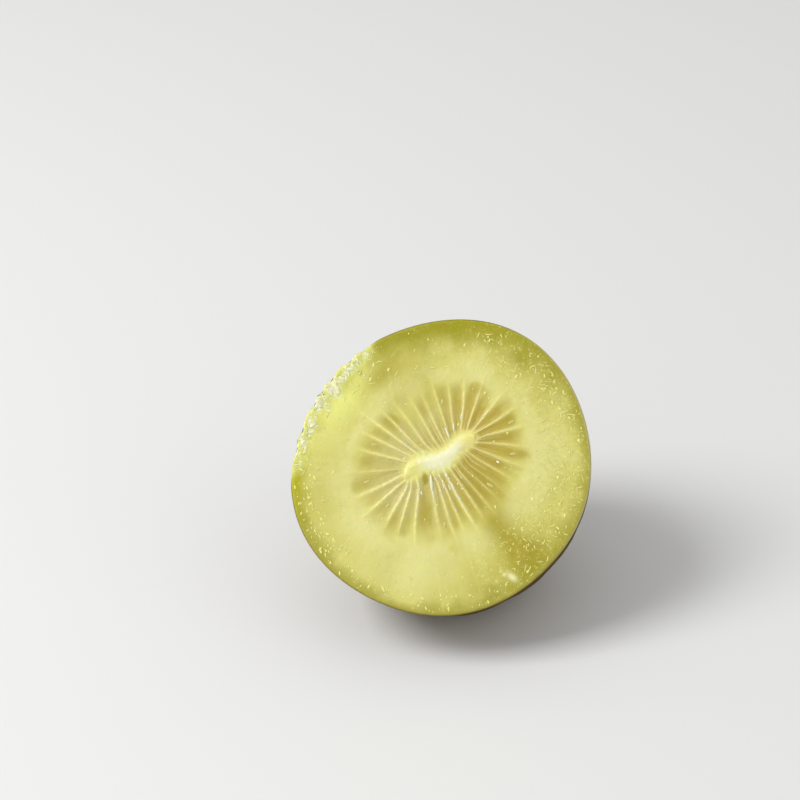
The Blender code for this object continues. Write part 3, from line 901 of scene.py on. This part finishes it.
beads = blobs(
    "juice_beads",
    np.concatenate((bead_places, face_points[droplet_places])),
    np.concatenate((bead_headings, angles[droplet_places])),
    np.concatenate((bead_sizes, np.stack((droplet_length, droplet, 0.8 * droplet), -1))),
    dent=0.07, seed=56, sink=0.4, shape=(10, 14),
)

# %% [markdown]
# ## Unripe seeds
#
# This fruit has no black seeds. A few pale, flat ones lie half sunk in the pockets, on a circle round
# the core, each pointing along its septum.

# %% Unripe seeds
SEED_COUNT = 8
seed_draw = np.random.default_rng(61)
seed_weight = bump(share, 0.3, 0.08) * bump(in_pocket, 0.5, 0.1) * (pocket_width > 1 * MM)
seed_points = face_points[pick_places(seed_weight, SEED_COUNT, 62)]
seeds = blobs(
    "unripe_seeds", seed_points,
    np.arctan2(seed_points[:, 1] - CORE_CENTRE[1], seed_points[:, 0] - CORE_CENTRE[0]),
    oval_sizes(seed_draw.uniform(0.6, 0.85, SEED_COUNT) * MM, (0.4, 0.5), (0.3, 0.36), 63),
    dent=0.02, seed=64, sink=0.8, shape=(10, 16),
)

# %% [markdown]
# ## What is left of the flower
#
# At the far end the flower's parts have dried on the fruit: seven curled sepals on the stubs, and a
# tuft of stiff threads, which were the styles. Both are flattened tubes along curved paths. A path is
# a formula of how far out it goes and how high it stands at each step.


# %% Tubes on the blossom end
def end_tubes(name, angle, radius, height, wide, thick, ring):
    """Flattened tubes on the blossom end. Each path is given by its angle, radius and height there."""
    paths = skin_place(angle, depth_at_radius(np.maximum(radius, POLE_RADIUS)))
    paths[..., 2] -= end_relief(radius, angle) + height
    heading = np.gradient(paths, axis=1)
    across = unit(np.cross(heading, (0, 0, -1)))
    out = unit(np.cross(across, heading))
    return flat_tubes(name, paths, across * wide[..., None], out * thick[..., None], ring)


# %% Dried sepals and styles
flower_draw = np.random.default_rng(71)


def column(low, high, count=REMNANT_COUNT):
    """One number of this range for each sepal or style."""
    return flower_draw.uniform(low, high, (count, 1))


way = np.linspace(0, 1, 18)[None, :]
number = np.arange(REMNANT_COUNT)[:, None]
sepal_angle = FULL_TURN * number / REMNANT_COUNT + column(-0.12, 0.12)
sepal_angle = sepal_angle - REMNANT_WANDER / REMNANT_COUNT * np.sin(2 * sepal_angle)
sepal_length = column(1.9, 3.1) * MM
curl = column(0.5, 1.1)
twist = column(-0.5, 0.5) * way**2
sepal_radius = 2.1 * MM + sepal_length * (way - 0.25 * curl * way**2)
sepal_height = (-0.15 + 0.75 * np.sin(np.pi * way**0.8) * curl + 0.12 * way) * MM
sepal_width = (0.85 * np.sqrt(np.clip(1 - way**2.2, 0, 1)) + 0.06) * MM
sepal_width = sepal_width * (1 + 0.2 * np.sin(9 * way + number))
sepal_thickness = np.full_like(sepal_width, 0.1 * MM)
sepals = end_tubes(
    "dried_sepals", sepal_angle + twist, sepal_radius, sepal_height, sepal_width, sepal_thickness, ring=12)

STYLE_COUNT = 30
step = np.linspace(0, 1, 9)[None, :]
style_angle = column(0, FULL_TURN, STYLE_COUNT)
style_spread = column(0.3, 2.2, STYLE_COUNT) * MM
style_radius = POLE_RADIUS + 0.5 * MM * flower_draw.random((STYLE_COUNT, 1)) + style_spread * step**1.4
style_height = (column(0.5, 1, STYLE_COUNT) * step - 0.15) * MM
style_angle = style_angle + column(-1.2, 1.2, STYLE_COUNT) * step**2
thread = 0.075 * (1 - 0.6 * step) * MM
styles = end_tubes("dried_styles", style_angle, style_radius, style_height, thread, thread, ring=6)

# %% [markdown]
# ## Wiring a material
#
# Materials are trees of nodes. A Net adds nodes to one such tree, and a Finish is the net of one
# material. An input that is given another node's output is linked to it, and any other value is set on
# the input itself. Colours are written as three levels from 0 to 255, as a screen shows them.


# %% Node helpers
def screen(red, green, blue):
    """The colour that a screen shows for three levels, as the linear light a shader needs."""
    levels = np.array((red, green, blue)) / 255
    linear = np.where(levels > 0.04, ((levels + 0.055) / 1.055) ** 2.4, levels / 12.92)
    return (*linear.tolist(), 1)


class Net:
    """A tree of nodes in the making. Each method adds to it and returns the output to go on from."""

    def __init__(self, tree):
        self.tree = tree

    def fill(self, made, inputs):
        """Fills inputs of a node: an output of another node is linked, any other value is set."""
        for key, value in inputs.items():
            if isinstance(value, bpy.types.NodeSocket):
                self.tree.links.new(value, made.inputs[key])
            else:
                made.inputs[key].default_value = value
        return made

    def node(self, kind, inputs, **settings):
        """A shader node with its options set and its inputs filled."""
        made = self.tree.nodes.new("ShaderNode" + kind)
        for option, value in settings.items():
            setattr(made, option, value)
        return self.fill(made, inputs)

    def place(self, group, vector, **inputs):
        """A node group at work on a vector, with its own values."""
        return self.node("Group", {"Vector": vector, **inputs}, node_tree=group).outputs[0]

    def stored(self, name, output="Fac"):
        """A number, or with output="Vector" three numbers, stored on the mesh under this name."""
        return self.node("Attribute", {}, attribute_name=name).outputs[output]

    def calc(self, operation, *values):
        """One arithmetic step, such as MAXIMUM."""
        return self.node("Math", dict(enumerate(values)), operation=operation).outputs[0]

    def times(self, value, *others):
        """The product of two or more values."""
        for other in others:
            value = self.calc("MULTIPLY", value, other)
        return value

    def grade(self, value, slope, start):
        """The value times a slope, plus a start."""
        return self.calc("MULTIPLY_ADD", value, slope, start)

    def ease(self, value, low, high, start=0, stop=1):
        """Start where the value is below low, stop where it is above high, and an S-curve between."""
        limits = {"Value": value, "From Min": low, "From Max": high, "To Min": start, "To Max": stop}
        return self.node("MapRange", limits, interpolation_type="SMOOTHSTEP").outputs["Result"]

    def squeeze(self, vector, *scale):
        """The vector times three numbers, which squeezes a pattern along each axis."""
        return self.node("VectorMath", {0: vector, 1: scale}, operation="MULTIPLY").outputs[0]

    def blend(self, factor, *colours):
        """The first colour where the factor is 0, the second where it is 1. Levels may stand for either."""
        first, second = (screen(*colour) if isinstance(colour, tuple) else colour for colour in colours)
        return self.node("Mix", {0: factor, 6: first, 7: second}, data_type="RGBA").outputs[2]

    def lay(self, colour, *layers):
        """Lays colours over the first: each has a mask, or a stored one's name, and a strength."""
        for mask, strength, over in layers:
            mask = self.stored(mask) if isinstance(mask, str) else mask
            colour = self.blend(self.times(mask, strength), colour, over)
        return colour


# %% Groups and finishes
class Group(Net):
    """A node group with a vector and named numbers as inputs, and one output."""

    def __init__(self, name, **numbers):
        super().__init__(bpy.data.node_groups.new(name, "ShaderNodeTree"))
        self.socket("Vector", "INPUT", "Vector")
        for title, default in numbers.items():
            self.socket(title, "INPUT", "Float").default_value = default
        self.given = self.tree.nodes.new("NodeGroupInput").outputs

    def socket(self, title, way, kind):
        """A named input or output of the group."""
        return self.tree.interface.new_socket(title, in_out=way, socket_type="NodeSocket" + kind)

    def give(self, title, kind, value):
        """Puts the value out under this title, and returns the finished group."""
        self.socket(title, "OUTPUT", kind)
        self.fill(self.tree.nodes.new("NodeGroupOutput"), {title: value})
        return self.tree


class Finish(Net):
    """A material on a few pieces. What is the same all over is set on its shader's own sockets."""

    def __init__(self, name, pieces, **constants):
        material = bpy.data.materials.new(name)
        material.use_nodes = True
        super().__init__(material.node_tree)
        self.wire(**constants)
        for piece in pieces:
            piece.data.materials.append(material)

    def wire(self, **inputs):
        """Fills inputs of the Principled shader. A name has _ for each space."""
        shader = self.tree.nodes["Principled BSDF"]
        self.fill(shader, {name.replace("_", " "): value for name, value in inputs.items()})
        return len(self.tree.nodes)


# %% [markdown]
# ## Effects that several finishes share
#
# Three effects recur: soft patches of tone, small specks, and a fine grain that tilts the surface. Each
# is a node group with named sockets, built once and placed in each material with its own values.

# %% Shared groups
net = Group("soft_patches", Scale=1, Detail=2, Low=0.35, High=0.65)
noise = net.node("TexNoise", {name: net.given[name] for name in ("Vector", "Scale", "Detail")})
patches = net.give("Mask", "Float", net.ease(noise.outputs["Fac"], net.given["Low"], net.given["High"]))

net = Group("specks", Size=0.3, Kept=0.5)
scatter = net.node("TexVoronoi", {"Vector": net.given["Vector"], "Scale": 1}).outputs
size = net.given["Size"]
dot = net.ease(scatter["Distance"], net.times(size, 0.4), size, 1, 0)
lottery = net.node("SeparateColor", {"Color": scatter["Color"]}).outputs["Red"]
specks = net.give("Mask", "Float", net.times(dot, net.calc("LESS_THAN", lottery, net.given["Kept"])))

net = Group("fine_grain", Scale=1, Depth=0.1 * MM, Extra=0)
rough = net.node("TexNoise", {"Vector": net.given["Vector"], "Scale": net.given["Scale"], "Detail": 4})
height = net.calc("ADD", rough.outputs["Fac"], net.given["Extra"])
raised = net.node("Bump", {"Height": height, "Distance": net.given["Depth"], "Strength": 1})
grain = net.give("Normal", "Vector", raised.outputs["Normal"])
print("groups:", [group.name for group in bpy.data.node_groups])

# %% [markdown]
# ## The flesh's finish
#
# The colours are laid over each other as they lie in the fruit: cloudy outer flesh, streaks along the
# fibres, olive green next to the skin, darker glassy pockets, pale septa, the white core, and at last
# bright specks. Some layers are painted light: a glow of the window's light on the left, olive clouds
# deepened to the lower right as painted shade, glints among the specks and in the white heaps of the
# torn edge, and a thin painted highlight along the right rim. Light travels a few millimetres in the
# flesh, so the shader scatters it below the surface, and a wet coat on top gives the small sharp glints.

# %% Golden flesh: outer flesh
net = Finish(
    "golden_flesh", [flesh], Subsurface_Weight=0.6, Subsurface_Radius=(1, 0.75, 0.25),
    Subsurface_Scale=1.3 * MM, IOR=1.37, Coat_Roughness=0.08, Coat_IOR=1.35)
local, along_fan = net.stored("local_mm", "Vector"), net.stored("fan", "Vector")
share = net.stored("share")

tone = net.place(patches, local, Scale=0.13, Detail=1.5, Low=0.34, High=0.66)
fibres = net.place(patches, net.squeeze(along_fan, 20, 20, 2), Detail=1.5, Low=0.45, High=0.8)
halo_gaps = net.place(patches, local, Scale=0.22, Low=0.35, High=0.6)
halo = net.times(net.ease(share, 0.4, 0.54), net.ease(share, 0.52, 0.74, 1, 0), halo_gaps)
rim_tone = net.place(patches, local, Scale=0.24, Detail=1.5, Low=0.3, High=0.7)
green_reach = net.times(net.stored("rim_breadth"), net.grade(rim_tone, 0.6, 0.7))
green = net.ease(net.calc("DIVIDE", net.stored("from_rim"), green_reach), -0.4, 1.9, 1, 0)
colour = net.lay(
    net.blend(tone, (224, 219, 128), (216, 210, 112)),
    # Pale patches, on the left partly a painted glow of the window's light.
    ("pale", 0.9, (232, 229, 154)),
    (fibres, 0.28, (235, 231, 156)),
    (halo, 0.75, (234, 230, 156)),
    # Olive clouds, partly painted shade to the lower right.
    ("clouds", 0.75, (184, 172, 60)),
    # Painted light: the window's glow on the upper left.
    ("painted_window_glow", 0.9, (241, 243, 142)),
    (green, 1, (160, 153, 8)),
    ("top_rim", 0.75, (168, 162, 6)),
    ("left_side", 1, (188, 184, 4)),
)

# %% Golden flesh: pockets and septa
to_right = net.node("SeparateXYZ", {0: local}).outputs["X"]
ragged = net.place(patches, net.squeeze(along_fan, 18, 18, 5), Low=0.25, High=0.75)
threads = net.place(patches, net.squeeze(along_fan, 70, 70, 4), Low=0.5, High=0.75)
ripples = net.place(patches, net.squeeze(along_fan, 8, 8, 60), Low=0.48, High=0.7)
beading = net.place(patches, net.squeeze(along_fan, 26, 26, 34), Low=0.35, High=0.7)
septum, pocket_tone = net.stored("septum"), net.stored("pocket_tone")
olive_mask = net.times(net.stored("olive"), net.grade(ragged, 0.25, 0.8))
pocket_colour = net.lay(
    net.blend(net.ease(to_right, -4, 7), net.blend(pocket_tone, (213, 203, 128), (203, 191, 112)),
              net.blend(pocket_tone, (200, 180, 74), (190, 166, 64))),
    (net.ease(share, 0.18, 0.4), 0.6, (204, 192, 92)),
    (threads, 0.4, (224, 216, 136)),
    (net.times(net.ease(share, 0.04, 0.24, 1, 0), net.ease(to_right, -3, 5)), 0.32, (196, 162, 22)),
)
ripples = net.times(ripples, net.ease(share, 0, 0.04), net.ease(share, 0.07, 0.2, 1, 0))
colour = net.lay(
    colour,
    (olive_mask, 1, pocket_colour),
    ("ovals", 0.6, (182, 164, 62)),
    (net.ease(net.stored("pocket_ends"), 0.2, 0.8), 0.65, (188, 173, 68)),
    (ripples, 0.5, (176, 158, 84)),
    ("septum_glow", 0.35, (230, 221, 130)),
    (net.times(septum, net.grade(beading, 0.6, 0.6)), 1,
     net.blend(net.ease(share, 0.12, 0.4), (250, 243, 182), (244, 238, 158))),
)

# %% Golden flesh: core, specks and torn edge
right_half = net.ease(to_right, 2, 12)
warp = net.node("TexNoise", {"Vector": local, "Scale": 0.9, "Detail": 2}).outputs["Color"]
warped = net.node("VectorMath", {0: warp, 1: (3, 3, 0), 2: net.squeeze(local, 1.7, 1.7, 1)},
                  operation="MULTIPLY_ADD").outputs[0]
# Specks: small pale cells, partly painted glints of the wet surface.
upright_specks = net.place(specks, net.squeeze(local, 2.2, 1, 1), Size=0.32, Kept=0.3)
loose_specks = net.place(specks, warped, Size=0.3, Kept=0.35)
speck = net.node("Mix", {0: right_half, 2: upright_specks, 3: loose_specks}, data_type="FLOAT").outputs[0]
speck = net.times(speck, net.stored("specks_and_glints"))

curls = net.node("TexNoise", {"Vector": warped, "Scale": 0.75, "Detail": 1}).outputs["Fac"]
from_curl = net.calc("ABSOLUTE", net.calc("SUBTRACT", curls, 0.5))
curl_gaps = net.place(patches, local, Scale=0.9, Low=0.45, High=0.6)
outer_part = net.times(net.ease(share, 0.5, 0.62), net.grade(right_half, 0.75, 0.25))
curl = net.times(net.ease(from_curl, 0.006, 0.04, 1, 0), curl_gaps, outer_part)
beside_curl = net.times(net.ease(curls, 0.56, 0.61), outer_part)

torn_edge, hole = net.stored("torn"), net.stored("cavity")
frayed = net.place(patches, local, Scale=1.1, Low=0.36, High=0.6)
splinters = net.place(specks, net.squeeze(along_fan, 34, 34, 14), Size=0.62, Kept=0.55)
torn_mask = net.times(net.ease(torn_edge, 0.1, 0.75), net.calc("MAXIMUM", net.times(frayed, 0.35), splinters))
colour = net.lay(
    colour,
    ("core_glow", 1, net.blend(net.ease(to_right, 1, 7), (240, 235, 148), (244, 233, 144))),
    ("core_white", 1, (252, 252, 208)),
    (hole, 0.85, (172, 160, 44)),
    # Specks, partly painted glints.
    (speck, 0.7, (244, 239, 152)),
    (curl, 0.6, (242, 236, 148)),
    (beside_curl, 0.14, (192, 182, 76)),
    (net.ease(torn_edge, 0.05, 0.5), 0.8, (226, 226, 116)),
    # White patches and heaps of the torn edge: whitish broken flesh, partly painted highlights.
    (torn_mask, 0.75, (247, 248, 190)),
    ("white_heaps", 0.85, (253, 254, 222)),
    ("scar", 1, (246, 240, 176)),
    # Painted highlight along the right rim.
    ("painted_rim_light", 0.8, (226, 214, 138)),
    ("fleck", 0.9, (112, 104, 22)),
)

# %% Golden flesh: wetness and relief
gloss = net.place(patches, local, Scale=0.6, Low=0.3, High=0.7)
wet = net.calc("MAXIMUM", net.times(net.calc("MAXIMUM", torn_edge, hole), 0.5), net.times(gloss, 0.25))
lines = net.grade(speck, 1.2, net.times(septum, beading, 0.4))
lines = net.grade(fibres, 0.2, net.grade(threads, 0.3, lines))
count = net.wire(
    Base_Color=colour,
    Roughness=net.grade(olive_mask, -0.08, net.grade(gloss, 0.16, 0.3)),
    Coat_Weight=wet,
    Normal=net.place(grain, local, Scale=2.6, Depth=0.05 * MM, Extra=lines),
)
print("golden_flesh has", count, "nodes")

# %% [markdown]
# ## Wet crumbs, bright cells and seeds
#
# Broken flesh holds air and juice, so it looks nearly white and shines. The near white of the crumbs
# is partly a painted highlight, the pale yellow of the bright cells partly a painted glint, and the
# near white of the juice beads a painted highlight. These finishes differ from the flesh in one tone
# only, which varies from blob to blob by the number stored on each.


# %% Finishes of the small pieces
def juicy_finish(name, piece, dark, bright, smoothest, coat, grain_depth):
    """A wet finish between two colours: each blob has its own tone, with soft patches over it."""
    net = Finish(name, [piece], Subsurface_Weight=0.3, Subsurface_Radius=(1, 0.8, 0.4),
                 Subsurface_Scale=0.06 * MM, IOR=1.36, Coat_Weight=coat, Coat_Roughness=0.08)
    local = net.stored("local_mm", "Vector")
    tone = net.place(patches, local, Scale=2.2, Low=0.3, High=0.7)
    tone = net.grade(tone, 0.5, net.times(net.stored("lot"), 0.6))
    count = net.wire(
        Base_Color=net.blend(tone, dark, bright),
        Roughness=net.grade(tone, 0.15, smoothest),
        Normal=net.place(grain, local, Scale=5, Depth=grain_depth),
    )
    print(name, "has", count, "nodes")


# Crumbs: near white, partly a painted highlight of the wet breaks.
juicy_finish("wet_crumb", crumbs, (244, 243, 152), (255, 254, 226), 0.3, 0.25, 0.008 * MM)
# Bright cells: pale yellow, partly a painted glint of their juice.
juicy_finish("bright_cell", cells, (240, 234, 112), (254, 250, 160), 0.5, 0, 0.004 * MM)
juicy_finish("curled_strand", strands, (229, 221, 120), (243, 237, 146), 0.5, 0, 0.004 * MM)
# Juice beads: near white, a painted highlight over the coat's real glint.
juicy_finish("juice_bead", beads, (246, 242, 190), (254, 252, 226), 0.05, 0.8, 0.004 * MM)
juicy_finish("pale_seed", seeds, (208, 195, 104), (220, 208, 126), 0.45, 0.1, 0.01 * MM)

# %% [markdown]
# ## The skin's finish
#
# The skin is khaki brown and smooth, with a satin sheen. Its tone drifts in patches the size of a
# fingertip, in finer mottling and in faint streaks from end to end, and small dark pores are scattered
# over it. It darkens towards the dried flower, and near the cut a darker brown is painted in as shade
# on the narrow band that shows below the face. Where the knife went through, its edge is paler, and on
# the upper right a painted highlight makes it paler still.

# %% Brown skin
net = Finish("brown_skin", [skin], IOR=1.3, Specular_IOR_Level=0.2, Coat_Roughness=0.36, Coat_IOR=1.4)
local, from_cut = net.stored("local_mm", "Vector"), net.stored("from_cut")
broad = net.place(patches, local, Scale=0.09, Low=0.36, High=0.64)
mottle = net.place(patches, local, Scale=0.45, Low=0.34, High=0.68)
streaks = net.place(patches, net.squeeze(local, 1.1, 1.1, 0.12), Low=0.4, High=0.7)
pores = net.place(specks, net.squeeze(local, 1.6, 1.6, 1.1), Size=0.2, Kept=0.55)
pale_pores = net.place(specks, net.squeeze(local, 0.9, 0.9, 0.7), Size=0.14, Kept=0.4)
end_mm = net.grade(mottle, 2.2, net.stored("from_end"))
across_face = net.node("SeparateXYZ", {0: local}).outputs
above_diagonal = net.grade(across_face["Y"], 0.9, across_face["X"])
# Where the knife edge gets its painted highlight: to the upper right.
painted_edge_highlight = net.times(net.ease(across_face["X"], 8, 20), net.ease(above_diagonal, 2, 14))
colour = net.lay(
    net.blend(broad, (112, 92, 46), (134, 116, 66)),
    (mottle, 0.45, (88, 66, 30)),
    (streaks, 0.35, (138, 120, 76)),
    (pores, 0.5, (66, 44, 18)),
    (pale_pores, 0.5, (158, 140, 92)),
    (net.ease(end_mm, 3, 8.5, 1, 0), 0.85, (62, 42, 16)),
    (net.ease(net.stored("stubs"), -0.1, 0.5), 0.8, (44, 28, 12)),
    # Painted shade: the skin is darkened near the cut.
    (net.ease(from_cut, 2, 12, 1, 0), 0.85, (62, 38, 14)),
    # The knife edge: greenish cut skin, with a painted highlight to the upper right.
    ("knife_edge", 1, net.blend(painted_edge_highlight, (140, 130, 50), (214, 204, 130))),
)
roughness = net.grade(mottle, 0.12, net.ease(from_cut, 6, 16, 0.7, 0.42))
extra = net.grade(pores, -1, net.times(mottle, 0.5))
count = net.wire(
    Base_Color=colour,
    Roughness=net.grade(streaks, -0.05, roughness),
    Coat_Weight=net.times(net.ease(from_cut, 8, 18, 0, 0.3), net.grade(broad, 0.4, 0.6)),
    Normal=net.place(grain, local, Scale=2.4, Depth=0.05 * MM, Extra=extra),
)
print("brown_skin has", count, "nodes")

# %% Dried flower
net = Finish("dried_flower", [sepals, styles], IOR=1.4, Sheen_Weight=0.2)
local = net.stored("local_mm", "Vector")
mottle = net.place(patches, local, Scale=1.4, Low=0.35, High=0.65)
veins = net.place(patches, net.squeeze(local, 4, 4, 1), Low=0.45, High=0.7)
count = net.wire(
    Base_Color=net.lay(net.blend(mottle, (58, 38, 16), (104, 80, 42)), (veins, 0.6, (150, 128, 84))),
    Roughness=net.grade(mottle, 0.2, 0.62),
    Normal=net.place(grain, local, Scale=4, Depth=0.08 * MM, Extra=veins),
)
print("dried_flower has", count, "nodes")

# %% [markdown]
# ## Riding on the frame
#
# The fruit has one body, which everything rides on. The imported solid is hidden, and the flesh and the skin
# take its place.

# %% Bodies
pieces = {flesh: "golden_flesh", crumbs: "golden_flesh", cells: "golden_flesh", strands: "golden_flesh",
          beads: "golden_flesh", seeds: "golden_flesh",
          skin: "brown_skin", sepals: "brown_skin", styles: "brown_skin"}
for piece, slot in pieces.items():
    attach(piece, "root")
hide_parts("kiwi_half")
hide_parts("kiwi_half")
print(len(pieces), "pieces,", sum(len(piece.data.polygons) for piece in pieces), "faces")

# %% [markdown]
# ## The studio
#
# A plain pale floor, an even white surround and two soft boxes. The larger one stands to the left and
# behind, like a window. The face's mirror direction is kept free of lamps, so that no broad glare
# washes out the flesh, and only the small wet edges catch the window.

# %% Studio
FLOOR_HALF = 3
floor_corners = FLOOR_HALF * np.array([(-1, -1, 0), (1, -1, 0), (1, 1, 0), (-1, 1, 0)])
floor = make_piece("floor", floor_corners, [(0, 1, 2, 3)])
Finish("pale_floor", [floor], Base_Color=(0.82, 0.82, 0.81, 1), Roughness=0.6)

world = bpy.data.worlds.new("studio")
world.use_nodes = True
surround = world.node_tree.nodes["Background"]
surround.inputs["Color"].default_value = (1, 1, 1, 1)
surround.inputs["Strength"].default_value = 0.5
bpy.context.scene.world = world
bpy.context.scene.view_settings.view_transform = "Standard"
FACE_CENTRE = Vector(lay_down(np.zeros((1, 3)))[0])


def towards(azimuth, elevation):
    """The unit vector to a place round the fruit: azimuth 0 is in front, and 90 is to the right."""
    azimuth, elevation = np.radians(azimuth), np.radians(elevation)
    level = np.cos(elevation)
    return Vector((np.sin(azimuth) * level, -np.cos(azimuth) * level, np.sin(elevation)))


def softbox(name, azimuth, elevation, distance, size, watts):
    """A square area light that looks at the middle of the cut face."""
    light = bpy.data.lights.new(name, "AREA")
    light.shape = "SQUARE"
    light.size = size
    light.energy = watts
    lamp = bpy.data.objects.new(name, light)
    lamp.location = FACE_CENTRE + distance * towards(azimuth, elevation)
    lamp.rotation_euler = (-towards(azimuth, elevation)).to_track_quat("-Z", "Y").to_euler()
    bpy.context.scene.collection.objects.link(lamp)


softbox("window", -78, 50, 0.9, 0.45, 5.5)
softbox("fill", 60, 35, 1.2, 1, 1.5)

# %% [markdown]
# ## The camera
#
# A long lens looks a little down on the fruit, nearly square to the cut face, and the camera is held
# with a slight tilt. The picture is framed by the width that it shows at the fruit's distance, and the
# aim is given from the middle of the face.

# %% Camera
VIEW_AZIMUTH, VIEW_ELEVATION = 8, 33
VIEW_DISTANCE = 0.42
VIEW_ROLL = np.radians(-4.9)
PICTURE_WIDTH = 0.1442
AIM_LEFT, AIM_UP = 7.48 * MM, 11.97 * MM
camera_data = bpy.data.cameras.new("camera")
camera_data.lens = camera_data.sensor_width * VIEW_DISTANCE / PICTURE_WIDTH
camera = bpy.data.objects.new("camera", camera_data)
bpy.context.scene.collection.objects.link(camera)
sight = towards(VIEW_AZIMUTH, VIEW_ELEVATION)
facing = (-sight).to_track_quat("-Z", "Y") @ Quaternion((0, 0, 1), VIEW_ROLL)
aim = FACE_CENTRE + facing @ Vector((-AIM_LEFT, AIM_UP, 0))
camera.rotation_euler = facing.to_euler()
camera.location = aim + VIEW_DISTANCE * sight
bpy.context.scene.camera = camera
print("lens", round(camera_data.lens), "mm at", VIEW_DISTANCE, "m")
